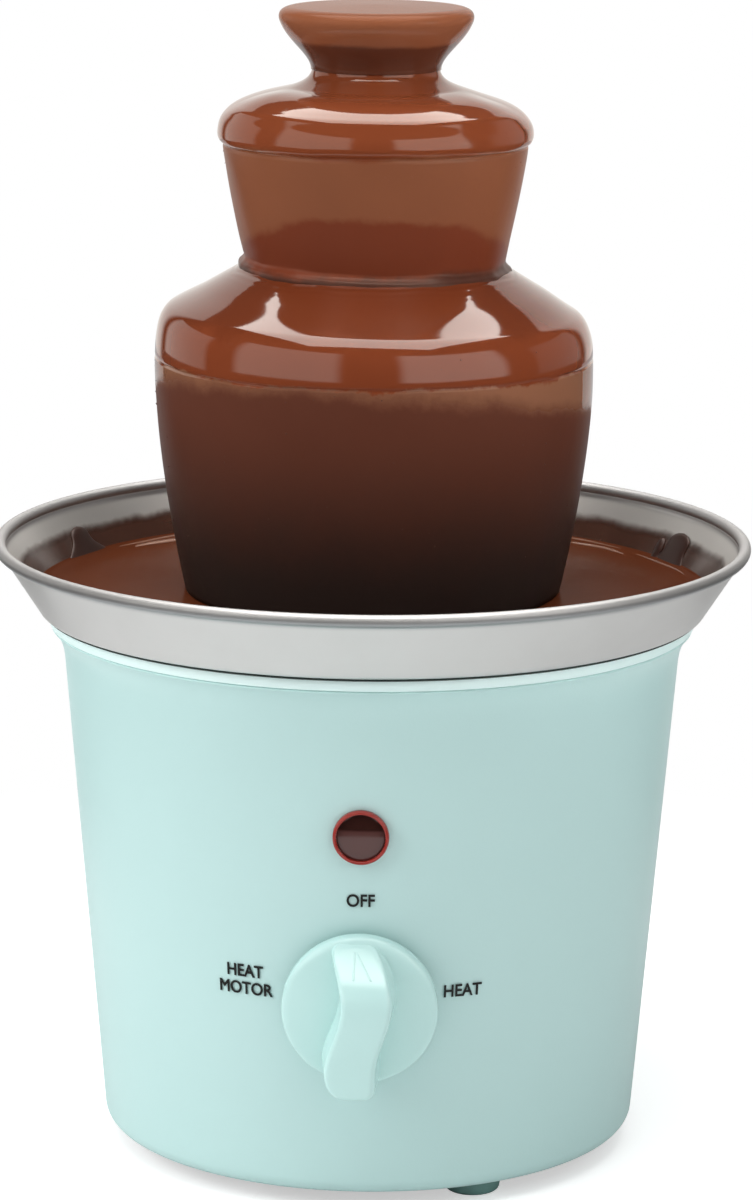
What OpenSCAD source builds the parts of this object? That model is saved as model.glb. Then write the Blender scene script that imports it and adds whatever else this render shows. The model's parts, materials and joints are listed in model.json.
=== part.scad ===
// Table-top chocolate fountain: a two-tier tower over a steel bowl on a tapered plastic base.
// Millimetres, +Z up, front towards -Y, origin at the middle of the surface it stands on.

/* [Stance] */
// Height of the rubber feet below the housing
foot_h = 5; // [4:0.5:9]
// Radius of a rubber foot
foot_r = 7.3; // [5:0.1:8]
// How far a foot's centre lies inside the housing's bottom edge
foot_inset = 13.2; // [12.2:0.1:20]

/* [Housing] */
// Outer radius of the housing at its bottom edge
housing_bottom_r = 68.2; // [66:0.2:72]
// Outer radius of the housing just below its flare
housing_neck_r = 77.9; // [76:0.1:80]
// Height of the housing from its bottom edge to its top edge
housing_h = 128.5; // [124:0.5:140]
// Height of the flare at the top of the housing
flare_h = 9; // [6:0.5:14]
// How far the flare stands out
flare_out = 3.5; // [2.5:0.1:4]
// Wall of the housing
housing_wall = 2.4; // [1.8:0.1:3]
// Rounding of the housing's bottom edge
edge_round = 1.5; // [0.5:0.1:2.5]
// Height of the trim band on top of the housing
band_h = 2.6; // [2:0.1:5]
// How far the band stands out past the housing's top edge
band_proud = 0.6; // [0.2:0.1:1.2]
// Thickness of the base plate
plate_t = 2.5; // [2:0.1:4]
// Height of the screw pillars above the base plate
pillar_h = 20; // [12:1:22]
// How far the base screws lie inside the housing's bottom edge
screw_inset = 11.2; // [9.5:0.1:16]

/* [Bowl] */
// How far the rolled rim stands out past the shoulder
rim_out = 10.4; // [8:0.1:14]
// Radius of the rolled bead
bead_r = 2.2; // [1.5:0.1:2.8]
// Height of the bowl's rim above the shoulder that it rests on
bowl_rim_h = 20.5; // [18:0.5:26]
// How far the shoulder reaches past the trim band
shoulder_over = 2.6; // [1.5:0.1:4]
// How far the well's wall lies inside the trim band
well_inset = 10; // [9:0.1:14]
// Depth of the well below the shoulder
well_d = 8.9; // [7:0.1:12]
// Thickness of the bowl's steel sheet
sheet_t = 0.8; // [0.6:0.1:1.2]
// Thickness of the gasket under the bowl
gasket_t = 0.8; // [0.6:0.1:1.6]
// Depth of melted chocolate above the bowl's floor
pool_d = 14.2; // [10:0.1:17]

/* [Tower] */
// Outer radius of the auger tube
tube_r = 13.4; // [12.6:0.1:13.6]
// Wall of the auger tube
tube_wall = 1.2; // [0.8:0.1:1.4]
// Radius of the foot ring at the bottom of the tube
tube_foot_r = 19.5; // [18:0.5:22]
// Radius of the lower tier's lip
lower_lip_r = 53.3; // [50:0.1:56]
// Height of the lower tier's lip above the bowl's floor
lower_lip_h = 74.2; // [66:0.2:80]
// Height of the lower tier's dome above its lip
lower_dome_h = 22; // [20:0.5:25]
// Radial run of the lower tier's dome
lower_run = 20.3; // [17:0.1:22]
// Radius of the upper tier's lip
upper_lip_r = 37.8; // [36:0.1:40]
// Height of the upper tier's lip above the bowl's floor
upper_lip_h = 129.9; // [127:0.1:133]
// Height of the upper tier's dome above its lip
upper_dome_h = 10.7; // [9.5:0.1:11.5]
// Radial run of the upper tier's dome
upper_run = 16.4; // [14.5:0.1:17.5]
// Height of the crown's rim above the bowl's floor
crown_rim_h = 158.2; // [156:0.2:164]
// Radius of the crown's rim
crown_r = 22.5; // [20:0.1:25]
// Thickness of the tiers' walls
tier_t = 1; // [0.8:0.1:1.2]
// Thickness of the chocolate that runs over the metal
film_t = 1.6; // [1.2:0.1:1.8]

/* [Auger] */
// Radius of the auger's flights
flight_r = 11.7; // [10.5:0.1:11.8]
// Radius of the auger's core
core_r = 4.5; // [3.5:0.1:6]
// Rise of the flights in one turn
flight_pitch = 24; // [18:1:32]
// Thickness of a flight, measured along the axis
flight_t = 2.6; // [1.8:0.1:4]

/* [Drive] */
// Radius of the output shaft
shaft_r = 4; // [3:0.1:4.2]
// Size of a gear tooth, pitch diameter over tooth count
gear_module = 1; // [0.9:0.02:1.1]
// Teeth on each of the two wheels
wheel_teeth = 36; // [30:2:40]
// Teeth on each of the two pinions
pinion_teeth = 12; // [12:1:14]
// Face width of the wheels
wheel_w = 6; // [5:0.5:6.5]
// Height of the gear chamber
chamber_h = 23; // [22.5:0.5:28]
// Radius of the motor's can
motor_r = 18.5; // [17:0.5:21]
// Length of the motor's can
motor_l = 38; // [30:1:44]
// Distance from the bowl's floor down to the motor plate
plate_drop = 26; // [24:0.5:30]
// How far the studs under the bowl lie inside the housing's bottom edge
stud_inset = 10.2; // [9.5:0.1:13]

/* [Front panel] */
// Height of the knob's axis above the housing's bottom edge
knob_h = 50; // [42:0.5:60]
// Radius of the knob's disc
knob_r = 19; // [16:0.5:22]
// Height of the knob's rim
knob_rim_h = 3.6; // [3:0.1:6]
// Rise of the knob's face from rim to centre
knob_dome_h = 2.4; // [1:0.1:4]
// Width of the knob's grip
grip_w = 12.5; // [9:0.5:15]
// Height of the grip above the rim
grip_h = 13; // [9:0.5:18]
// Height of the lamp's centre above the housing's bottom edge
lamp_h = 93; // [80:0.5:105]
// Outer radius of the lamp's bezel
lamp_r = 6.85; // [5.5:0.05:9]
// Width of the lamp's bezel ring
bezel_w = 1.1; // [0.8:0.1:2]
// Height of the cord gland above the housing's bottom edge
gland_h = 18; // [15:0.5:25]
// Radius of the cord gland's bore
gland_bore_r = 3.2; // [2.5:0.1:4]

/* [Hidden] */
$fn = 64;

// Clearances
film_gap = 0.1;
slip_gap = 0.1;
run_gap = 0.05;
seat_gap = 0.3;
drop_gap = 0.4;
rest_gap = 0.05;

// Levels, from the table upwards
housing_z = foot_h;
housing_top = housing_z + housing_h;
flare_z = housing_top - flare_h;
band_top = housing_top + band_h;
shoulder_z = band_top + gasket_t;
bowl_under = shoulder_z - well_d;
floor_z = bowl_under + sheet_t;
rim_top = shoulder_z + bowl_rim_h;
pool_z = floor_z + pool_d;
taper = atan((housing_neck_r - housing_bottom_r) / (flare_z - housing_z));
plate_top = housing_z + plate_t;

// Circles, from the housing outwards and inwards
band_r = housing_neck_r + flare_out + band_proud;
shoulder_r = band_r + shoulder_over;
rim_r = shoulder_r + rim_out;
well_r = band_r - well_inset;
foot_ring_r = housing_bottom_r - foot_inset;
screw_ring_r = housing_bottom_r - screw_inset;
stud_ring_r = housing_bottom_r - stud_inset;

// Outer and inner radius of the housing's cone at a height
function wall_r(z) = housing_bottom_r + (z - housing_z) * tan(taper);
function wall_in_r(z) = wall_r(z) - housing_wall;

// Curves: a cubic curve through its four control points, an arc, and a path moved to its left
curve_steps = 10;
function bez(a, b, c, d, n = curve_steps) = [
    for (i = [0 : n])
        let (t = i / n, s = 1 - t)
        s * s * s * a + 3 * s * s * t * b + 3 * s * t * t * c + t * t * t * d
];
function arc(c, r, from, to, n = curve_steps) = [
    for (i = [0 : n])
        let (a = from + (to - from) * i / n)
        c + r * [cos(a), sin(a)]
];
function left_of(a, b) = [a.y - b.y, b.x - a.x] / norm(b - a);
function shifted(p, d) = [
    for (i = [0 : len(p) - 1])
        p[i] + d * left_of(p[max(i - 1, 0)], p[min(i + 1, len(p) - 1)])
];
function reversed(p) = [for (i = [len(p) - 1 : -1 : 0]) p[i]];

// A ring of revolution, and copies of a piece on a circle
module ring(r_in, r_out, z, h) {
    translate([0, 0, z])
        difference() {
            cylinder(r = r_out, h = h);
            translate([0, 0, -1])
                cylinder(r = r_in, h = h + 2);
        }
}
module turned(points) {
    rotate_extrude()
        polygon(points);
}
module around(r, angles) {
    for (a = angles)
        rotate(a)
            translate([r, 0, 0])
                children();
}

// Feet and screws alternate round the base
foot_angles = [-60, 60, 180];
screw_angles = [0, 120, 240];

// Housing: cone, flare, pillars for the base screws and lugs over the motor plate
pillar_r = 4.5;
screw_r = 1.5;
screw_l = 16;
rib_w = 3;
lug_w = 10;
lug_h = 4;
lug_reach = 4;
motor_plate_t = 2;
motor_plate_top = floor_z - plate_drop;
motor_plate_r = wall_in_r(housing_z) - 1.8;

housing_flare = bez([housing_neck_r, flare_z], [housing_neck_r + 0.4, flare_z + flare_h * 0.55],
    [housing_neck_r + flare_out * 0.6, housing_top - flare_h * 0.2],
    [housing_neck_r + flare_out, housing_top], 8);
housing_outer = concat(
    arc([housing_bottom_r - edge_round, housing_z + edge_round], edge_round, -90, -taper, 6),
    housing_flare
);
housing_inner = [for (p = reversed(housing_flare)) [p.x - housing_wall, p.y]];

module housing_shell() {
    pillar_z = plate_top;
    rib_end = wall_in_r(pillar_z + pillar_h) + seat_gap;
    lug_end = wall_in_r(motor_plate_top + lug_h) + seat_gap;
    color("#b8d8d6")
        difference() {
            union() {
                turned(concat(housing_outer, housing_inner,
                    [[wall_in_r(housing_z), housing_z]]));
                around(screw_ring_r, screw_angles)
                    translate([0, 0, pillar_z])
                        cylinder(r = pillar_r, h = pillar_h);
                around(0, screw_angles)
                    translate([screw_ring_r, -rib_w / 2, pillar_z])
                        cube([rib_end - screw_ring_r, rib_w, pillar_h]);
                around(0, foot_angles)
                    translate([motor_plate_r - lug_reach, -lug_w / 2, motor_plate_top])
                        cube([lug_end - motor_plate_r + lug_reach, lug_w, lug_h]);
            }
            around(screw_ring_r, screw_angles)
                translate([0, 0, pillar_z - 1])
                    cylinder(r = screw_r + slip_gap, h = screw_l + 1);
            on_wall(knob_h)
                bored(switch_neck_r + slip_gap);
            on_wall(lamp_h)
                bored(lamp_barrel_r + slip_gap);
            on_rear(gland_h)
                bored(gland_barrel_r + slip_gap);
        }
}

// Frame standing on the sloping wall: +Z out of the wall, +Y up it
module on_wall(h) {
    translate([0, -wall_r(housing_z + h), housing_z + h])
        rotate([90 + taper, 0, 0])
            children();
}
module on_rear(h) {
    rotate(180)
        on_wall(h)
            children();
}
module bored(r) {
    translate([0, 0, -3 * housing_wall])
        cylinder(r = r, h = 6 * housing_wall);
}

// Band: sits on the housing's top edge, with a skirt that centres it
skirt_h = 5;
skirt_t = 1.6;
skirt_r = housing_neck_r - housing_wall - seat_gap;

module housing_band() {
    color("#c6e2df")
        turned(concat(
            [[skirt_r - skirt_t, housing_top - skirt_h], [skirt_r, housing_top - skirt_h],
                [skirt_r, housing_top], [band_r - 0.6, housing_top]],
            bez([band_r - 0.3, housing_top + 0.3], [band_r, housing_top + band_h * 0.4],
                [band_r, housing_top + band_h * 0.8], [band_r - 0.4, band_top], 4),
            [[skirt_r - skirt_t, band_top]]
        ));
}

// Base plate with holes for the screws and the feet
foot_stem_r = 2.5;
foot_head_r = 3.6;
foot_head_h = 2;

module base_plate() {
    color("#3d4544")
        difference() {
            translate([0, 0, housing_z])
                cylinder(r = wall_in_r(housing_z) - slip_gap, h = plate_t);
            around(foot_ring_r, foot_angles)
                translate([0, 0, housing_z - 1])
                    cylinder(r = foot_stem_r + slip_gap, h = plate_t + 2);
            around(screw_ring_r, screw_angles)
                translate([0, 0, housing_z - 1])
                    cylinder(r = screw_r + slip_gap, h = plate_t + 2);
        }
}

module rubber_feet() {
    foot_edge = 1.4;
    color("#2f4a4c")
        around(foot_ring_r, foot_angles)
            turned(concat(
                [[0, 0]],
                arc([foot_r - foot_edge - 0.4, foot_edge], foot_edge, -90, -10, 5),
                [[foot_r, foot_h], [foot_stem_r, foot_h], [foot_stem_r, plate_top],
                    [foot_head_r, plate_top], [foot_stem_r, plate_top + foot_head_h],
                    [0, plate_top + foot_head_h]]
            ));
}

module base_screws() {
    head_r = 3.2;
    head_h = 2;
    color("silver")
        around(screw_ring_r, screw_angles)
            difference() {
                union() {
                    translate([0, 0, housing_z - head_h])
                        cylinder(r = head_r, h = head_h);
                    translate([0, 0, housing_z])
                        cylinder(r = screw_r, h = plate_t + screw_l - 1);
                }
                translate([0, 0, housing_z - head_h - 1])
                    cylinder(r = screw_r, h = 2, $fn = 6);
            }
}

// Bowl: the underside runs from the centre hole out to the rim
seat_neck_r = 8;
bowl_hole_r = seat_neck_r + slip_gap;
corner_r = 3;
bead_c = [rim_r - bead_r, rim_top - bead_r];
flank_a = [shoulder_r + 0.4, shoulder_z + 0.7];
flank_b = [bead_c.x + 0.4, bead_c.y - bead_r - 1.8];
bowl_well = concat(
    [[bowl_hole_r, bowl_under]],
    arc([well_r - corner_r, bowl_under + corner_r], corner_r, -90, -10, 5),
    bez([well_r + 0.9, shoulder_z - 2], [well_r + 1.2, shoulder_z - 0.4],
        [well_r + 1.6, shoulder_z], [well_r + 3.2, shoulder_z], 4)
);
bowl_flank = concat(
    bez([shoulder_r - 2.4, shoulder_z], [shoulder_r - 0.6, shoulder_z],
        [shoulder_r - 0.1, shoulder_z + 0.1], flank_a, 4),
    [flank_b]
);
bowl_path = concat(bowl_well, bowl_flank);

// Inner radius of the flank at a height
flank_lean = (flank_b.x - flank_a.x) / (flank_b.y - flank_a.y);
function flank_in_r(z) =
    flank_a.x + (z - flank_a.y) * flank_lean - sheet_t * sqrt(1 + flank_lean * flank_lean);

module bowl() {
    color("#c8c7c3")
        rotate_extrude()
            union() {
                polygon(concat(bowl_path, [bead_c], reversed(shifted(bowl_path, sheet_t))));
                translate(bead_c)
                    circle(r = bead_r);
            }
}

module bowl_gasket() {
    color("#30403c")
        ring(well_r + 4.5, band_r - 0.3, band_top, gasket_t);
}

pool_hole_r = tube_foot_r + drop_gap;
module pool_chocolate() {
    bed = shifted(concat(bowl_well, [for (i = [0 : 4]) bowl_flank[i]]), sheet_t + film_gap);
    color("#6b371e")
        turned(concat(
            [[pool_hole_r, floor_z + film_gap]],
            [for (p = bed) if (p.x > pool_hole_r) p],
            [[flank_in_r(pool_z) - film_gap, pool_z], [pool_hole_r, pool_z]]
        ));
}

// Under the bowl: studs, heater, clamp, thermostat and fuse
stud_angles = [0, 120, 240];
stud_r = 2;
nut_r = 3.8;
nut_h = 2.4;
heater_ring_r = 45;
heater_r = 3.2;
clamp_t = 1.4;
clamp_z = bowl_under - 2 * heater_r - slip_gap - clamp_t;
clamp_in_r = 36;
motor_plate_z = motor_plate_top - motor_plate_t;

module bowl_studs() {
    color("silver")
        around(stud_ring_r, stud_angles)
            translate([0, 0, motor_plate_z - nut_h - 2])
                cylinder(r = stud_r, h = bowl_under - motor_plate_z + nut_h + 2);
}

module hex_nut(r, h, bore_r) {
    difference() {
        cylinder(r = r, h = h, $fn = 6);
        translate([0, 0, -1])
            cylinder(r = bore_r, h = h + 2);
    }
}

module stud_nuts() {
    color("gainsboro")
        around(stud_ring_r, stud_angles)
            for (z = [clamp_z, motor_plate_z])
                translate([0, 0, z - nut_h])
                    hex_nut(nut_r, nut_h, stud_r + run_gap);
}

module stud_spacers() {
    spacer_r = 3.4;
    color("lightgrey")
        around(stud_ring_r, stud_angles)
            ring(stud_r + slip_gap, spacer_r, motor_plate_top, clamp_z - nut_h - motor_plate_top);
}

module heater_ring() {
    gap_deg = 30;
    pin_r = 1.2;
    pin_l = 9;
    z = bowl_under - heater_r - slip_gap;
    color("#6d6a66") {
        rotate(gap_deg / 2 - 90)
            rotate_extrude(angle = 360 - gap_deg)
                translate([heater_ring_r, z])
                    circle(r = heater_r);
        for (a = [gap_deg / 2 + 2, -gap_deg / 2 - 2])
            rotate(a - 90)
                translate([heater_ring_r, 0, z - pin_l])
                    cylinder(r = pin_r, h = pin_l);
    }
}

module heater_clamp() {
    slot_w = 28;
    slot_d = 10;
    color("#a9aaa6")
        difference() {
            ring(clamp_in_r, stud_ring_r + nut_r + 1, clamp_z, clamp_t);
            around(stud_ring_r, stud_angles)
                translate([0, 0, clamp_z - 1])
                    cylinder(r = stud_r + slip_gap, h = clamp_t + 2);
            rotate(-90)
                translate([heater_ring_r - slot_d / 2, -slot_w / 2, clamp_z - 1])
                    cube([slot_d, slot_w, clamp_t + 2]);
        }
}

module thermostat() {
    can_r = 8;
    can_h = 7;
    place = 25;
    color("#d8d5cc")
        translate([-place, 0, bowl_under - can_h]) {
            cylinder(r = can_r, h = can_h);
            for (y = [-4, 4])
                translate([-1, y - 2.5, -6])
                    cube([0.8, 5, 6.5]);
        }
}

module thermal_fuse() {
    body_r = 2.2;
    body_l = 14;
    lead_r = 0.6;
    lead_l = 8;
    place = 25;
    color("#e8e2d4")
        translate([place, 0, bowl_under - body_r - slip_gap])
            rotate([90, 0, 0]) {
                cylinder(r = body_r, h = body_l, center = true);
                cylinder(r = lead_r, h = body_l + 2 * lead_l, center = true);
            }
}

// Seat: clamped through the bowl's floor, centres the tube and carries the shaft
seat_h = 4;
seat_r = tube_r - tube_wall - seat_gap;
seat_l = 11;
bush_r = shaft_r + 2;
seal_r = shaft_r + 3.4;
seal_h = 1.8;
seat_nut_h = 4;

module tower_seat() {
    color("#e4e2dc")
        difference() {
            union() {
                translate([0, 0, floor_z])
                    cylinder(r = seat_r, h = seat_h);
                translate([0, 0, floor_z - seat_l])
                    cylinder(r = seat_neck_r, h = seat_l + 1);
            }
            translate([0, 0, floor_z - seat_l - 1])
                cylinder(r = bush_r + run_gap, h = seat_l + seat_h + 2);
            translate([0, 0, floor_z + seat_h - seal_h])
                cylinder(r = seal_r + run_gap, h = seal_h + 1);
        }
}

module seat_nut() {
    color("#b9b7ae")
        translate([0, 0, bowl_under - seat_nut_h])
            hex_nut(seat_neck_r + 5, seat_nut_h, seat_neck_r + run_gap);
}

module shaft_bush() {
    color("#b08d4a")
        ring(shaft_r + run_gap, bush_r, floor_z - seat_l, seat_l + seat_h - seal_h);
}

module shaft_seal() {
    color("#26282a")
        ring(shaft_r + run_gap, seal_r, floor_z + seat_h - seal_h, seal_h);
}

// Gear train: rotor pinion, two-step idler and output wheel
gear_gap = gear_module * (wheel_teeth + pinion_teeth) / 2;
idler_angle = 30;
idler_xy = gear_gap * [cos(idler_angle), sin(idler_angle)];
rotor_angle = idler_angle + 120;
rotor_xy = idler_xy + gear_gap * [cos(rotor_angle), sin(rotor_angle)];
case_xy = (idler_xy + rotor_xy) / 3;
pressure_angle = 20;
addendum = 0.8;
dedendum = 1.15;
backlash = 0.12;
case_wall = 2;
case_floor = 2.5;
cover_t = 2.4;
wheel_tip_r = gear_module * (wheel_teeth / 2 + addendum);
case_in_r = norm(case_xy) + wheel_tip_r + 1.5;
case_r = case_in_r + case_wall;
cover_z = motor_plate_z - cover_t;
chamber_z = cover_z - chamber_h;
case_z = chamber_z - case_floor;
level_1 = chamber_z + 2.5;
level_2 = level_1 + wheel_w + 3;
case_angles = [60, 180, 300];
case_pillar_r = 3.6;
case_screw_r = 1.4;
case_screw_l = 12;
pin_r = 2;

function inv_deg(a) = tan(a) * 180 / PI - a;
function flank_half(n, r) =
    let (
        pitch_r = gear_module * n / 2,
        base_r = pitch_r * cos(pressure_angle),
        a = r > base_r ? acos(base_r / r) : 0
    )
    90 / n - backlash / pitch_r * 180 / PI + inv_deg(pressure_angle) - inv_deg(a);
function gear_points(n) =
    let (
        pitch_r = gear_module * n / 2,
        root_r = pitch_r - gear_module * dedendum,
        tip_r = pitch_r + gear_module * addendum,
        steps = 4,
        radii = [for (i = [0 : steps]) root_r + (tip_r - root_r) * i / steps]
    )
    [
        for (k = [0 : n - 1])
            for (side = [-1, 1])
                for (i = [0 : steps])
                    let (
                        r = radii[side < 0 ? i : steps - i],
                        a = 360 * k / n + side * flank_half(n, r)
                    )
                    r * [cos(a), sin(a)]
    ];

// A gear with a tooth pointing along +X, turned so that it meshes
module gear(n, w, bore_r, turn) {
    difference() {
        rotate(turn)
            linear_extrude(w)
                polygon(gear_points(n));
        translate([0, 0, -1])
            cylinder(r = bore_r, h = w + 2);
    }
}

wheel_turn = idler_angle;
idler_pinion_turn = idler_angle + 180 + 180 / pinion_teeth;
idler_wheel_turn = rotor_angle;
rotor_pinion_turn = rotor_angle + 180 + 180 / pinion_teeth;

module motor_plate() {
    color("#9fa3a0")
        difference() {
            translate([0, 0, motor_plate_z])
                cylinder(r = motor_plate_r, h = motor_plate_t);
            translate([0, 0, motor_plate_z - 1])
                cylinder(r = shaft_r + 1.5, h = motor_plate_t + 2);
            around(stud_ring_r, stud_angles)
                translate([0, 0, motor_plate_z - 1])
                    cylinder(r = stud_r + slip_gap, h = motor_plate_t + 2);
            on_wall(lamp_h)
                translate([0, 0, -lamp_barrel_l - drop_gap])
                    cylinder(r = lamp_barrel_r + drop_gap, h = lamp_barrel_l);
            translate(case_xy)
                around(case_in_r - case_pillar_r, case_angles)
                    translate([0, 0, motor_plate_z - 1])
                        cylinder(r = case_screw_r + slip_gap, h = motor_plate_t + 2);
        }
}

module gearbox_case() {
    boss_h = level_1 - chamber_z - 0.8;
    color("#4a4d50")
        difference() {
            union() {
                translate(case_xy) {
                    ring(case_in_r, case_r, case_z, cover_z - case_z);
                    translate([0, 0, case_z])
                        cylinder(r = case_in_r + 0.5, h = case_floor);
                    around(case_in_r - case_pillar_r, case_angles)
                        translate([0, 0, case_z])
                            cylinder(r = case_pillar_r + 0.3, h = cover_z - case_z);
                }
                translate([0, 0, case_z])
                    cylinder(r = shaft_r + 2.5, h = case_floor + boss_h);
            }
            translate([0, 0, case_z + 1])
                cylinder(r = shaft_r + run_gap, h = chamber_h);
            translate(concat(idler_xy, [case_z + 1]))
                cylinder(r = pin_r + run_gap, h = chamber_h);
            translate(concat(rotor_xy, [case_z - 1]))
                cylinder(r = motor_boss_r + slip_gap, h = case_floor + 2);
            translate(case_xy)
                around(case_in_r - case_pillar_r, case_angles)
                    translate([0, 0, cover_z - case_screw_l])
                        cylinder(r = case_screw_r + run_gap, h = case_screw_l + 1);
        }
}

module gearbox_cover() {
    color("#5a5e61")
        difference() {
            translate(concat(case_xy, [cover_z]))
                cylinder(r = case_r, h = cover_t);
            translate([0, 0, cover_z - 1])
                cylinder(r = shaft_r + run_gap, h = cover_t + 2);
            translate(concat(idler_xy, [cover_z - 1]))
                cylinder(r = pin_r + run_gap, h = cover_t);
            translate(case_xy)
                around(case_in_r - case_pillar_r, case_angles)
                    translate([0, 0, cover_z - 1])
                        cylinder(r = case_screw_r + slip_gap, h = cover_t + 2);
        }
}

module gearbox_screws() {
    head_r = 2.8;
    head_h = 1.8;
    color("silver")
        translate(case_xy)
            around(case_in_r - case_pillar_r, case_angles)
                difference() {
                    union() {
                        translate([0, 0, motor_plate_top])
                            cylinder(r = head_r, h = head_h);
                        translate([0, 0, cover_z - case_screw_l + 1])
                            cylinder(r = case_screw_r, h = motor_plate_top - cover_z + case_screw_l - 1);
                    }
                    translate([0, 0, motor_plate_top + head_h - 1])
                        cylinder(r = case_screw_r, h = 2, $fn = 6);
                }
}

module idler_pin() {
    color("silver")
        translate(concat(idler_xy, [case_z + 1]))
            cylinder(r = pin_r, h = cover_z - case_z);
}

module idler_gear() {
    bore_r = pin_r + run_gap;
    hub_r = 4;
    gear_root = 0.5;
    pinion_reach = 5;
    color("#e9e4d2")
        translate(idler_xy) {
            translate([0, 0, level_1])
                gear(wheel_teeth, wheel_w, bore_r, idler_wheel_turn);
            translate([0, 0, level_1 + wheel_w - gear_root])
                gear(pinion_teeth, gear_root + wheel_w + pinion_reach, bore_r, idler_pinion_turn);
            ring(bore_r, hub_r, level_1 - 1.5, 2);
        }
}

module output_gear() {
    color("#e9e4d2")
        translate([0, 0, level_2]) {
            gear(wheel_teeth, wheel_w, shaft_r + run_gap, wheel_turn);
            ring(shaft_r + run_gap, shaft_r + 3, wheel_w - 0.5, 2);
        }
}

shaft_top = floor_z + seat_h + 9;
module output_shaft() {
    shaft_bottom = case_z + 1 + rest_gap;
    color("#c9cbcd")
        translate([0, 0, shaft_bottom])
            cylinder(r = shaft_r, h = shaft_top - shaft_bottom);
}

coupling_z = floor_z + seat_h + 0.5;
coupling_h = 9.5;
coupling_r = shaft_r + 1.6;
module drive_coupling() {
    color("#f0eee6")
        difference() {
            translate([0, 0, coupling_z])
                cylinder(r = coupling_r, h = coupling_h, $fn = 6);
            translate([0, 0, coupling_z - 1])
                cylinder(r = shaft_r + run_gap, h = shaft_top - coupling_z + 1 + run_gap);
        }
}

// Motor under the gearbox
motor_boss_r = 6;
motor_wall = 1;
motor_shaft_r = 2.5;
motor_cap_h = 5;
motor_top = case_z;
motor_z = motor_top - motor_l;
rotor_r = motor_r - 7;
stack_z = motor_z + 8;
stack_h = motor_l - 16;

module motor_can() {
    color("#b5b8ba")
        translate(rotor_xy)
            difference() {
                union() {
                    translate([0, 0, motor_z])
                        cylinder(r = motor_r, h = motor_l);
                    translate([0, 0, motor_top - 1])
                        cylinder(r = motor_boss_r, h = case_floor + 1);
                }
                translate([0, 0, motor_z - 1])
                    cylinder(r = motor_r - motor_wall, h = motor_l - motor_wall);
                translate([0, 0, motor_z])
                    cylinder(r = motor_shaft_r + run_gap, h = motor_l + case_floor + 1);
            }
}

module motor_end_cap() {
    color("#2e3133")
        translate(rotor_xy)
            difference() {
                union() {
                    translate([0, 0, motor_z - motor_cap_h + 2])
                        cylinder(r = motor_r, h = motor_cap_h - 2);
                    translate([0, 0, motor_z])
                        cylinder(r = motor_r - motor_wall - slip_gap, h = 2);
                }
                translate([0, 0, motor_z - motor_cap_h + 3])
                    cylinder(r = motor_shaft_r + run_gap, h = motor_cap_h);
            }
}

module stator() {
    slot_n = 6;
    slot_w = 3;
    stator_r = motor_r - motor_wall - slip_gap;
    color("#a4683a")
        translate(rotor_xy)
            difference() {
                ring(rotor_r + 0.6, stator_r, stack_z, stack_h);
                around(0, [for (k = [0 : slot_n - 1]) 360 * k / slot_n])
                    translate([rotor_r, -slot_w / 2, stack_z - 1])
                        cube([2.6, slot_w, stack_h + 2]);
            }
}

module rotor() {
    shaft_z = motor_z - motor_cap_h + 3 + rest_gap;
    color("#8d9093")
        translate(rotor_xy) {
            translate([0, 0, shaft_z])
                cylinder(r = motor_shaft_r, h = level_1 + wheel_w + 1 - shaft_z);
            translate([0, 0, stack_z])
                cylinder(r = rotor_r, h = stack_h);
        }
}

module rotor_pinion() {
    color("#c9a24b")
        translate(concat(rotor_xy, [level_1 - 0.5]))
            gear(pinion_teeth, wheel_w + 1, motor_shaft_r + run_gap, rotor_pinion_turn);
}

// Auger: a core with a socket for the coupling and a helical flight
auger_z = coupling_z + 0.4;
auger_top = floor_z + crown_rim_h - 5;
flight_steps = 18;
flight_root = 0.5;
module flight(z, h) {
    turns = h / flight_pitch;
    steps = ceil(turns * flight_steps);
    section = [[core_r - flight_root, 0], [flight_r, 0], [flight_r, flight_t], [core_r - flight_root, flight_t]];
    points = [
        for (i = [0 : steps])
            let (a = 360 * turns * i / steps)
            for (p = section)
                [p.x * cos(a), p.x * sin(a), z + h * i / steps + p.y]
    ];
    sides = [
        for (i = [0 : steps - 1])
            for (k = [0 : 3])
                let (a = 4 * i + k, b = 4 * i + (k + 1) % 4)
                each [[a, b, b + 4], [a, b + 4, a + 4]]
    ];
    last = 4 * steps;
    ends = [[3, 2, 1], [3, 1, 0], [last, last + 1, last + 2], [last, last + 2, last + 3]];
    polyhedron(points, concat(sides, ends));
}

module auger() {
    socket_h = coupling_h + 0.4;
    hub_r = coupling_r + 2.6;
    hub_h = socket_h + 4;
    flight_z = auger_z + hub_h - 2;
    color("#dedcd6") {
        difference() {
            union() {
                translate([0, 0, auger_z])
                    cylinder(r = hub_r, h = hub_h);
                translate([0, 0, auger_z])
                    cylinder(r = core_r, h = auger_top - auger_z);
            }
            translate([0, 0, auger_z - 1])
                cylinder(r = coupling_r + 0.2, h = socket_h + 1, $fn = 6);
        }
        flight(flight_z, auger_top - 2 - flight_t - flight_z);
    }
}

// Tube: stands on the bowl's floor round the seat, with inlet slots and two ribs for the tiers
tube_z = floor_z + rest_gap;
tube_top = floor_z + crown_rim_h - 10.5;
tube_foot_h = 2;
hub_t = 1.1;
upper_hub_r = tube_r + slip_gap + hub_t;
upper_lip_z = floor_z + upper_lip_h;
lower_lip_z = floor_z + lower_lip_h;
upper_rib_z = upper_lip_z + 1.5;
lower_hub_in_r = upper_hub_r + seat_gap;
lower_hub_r = lower_hub_in_r + 2;
lower_rib_z = lower_lip_z + 14;
rib_h = 2;

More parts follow.
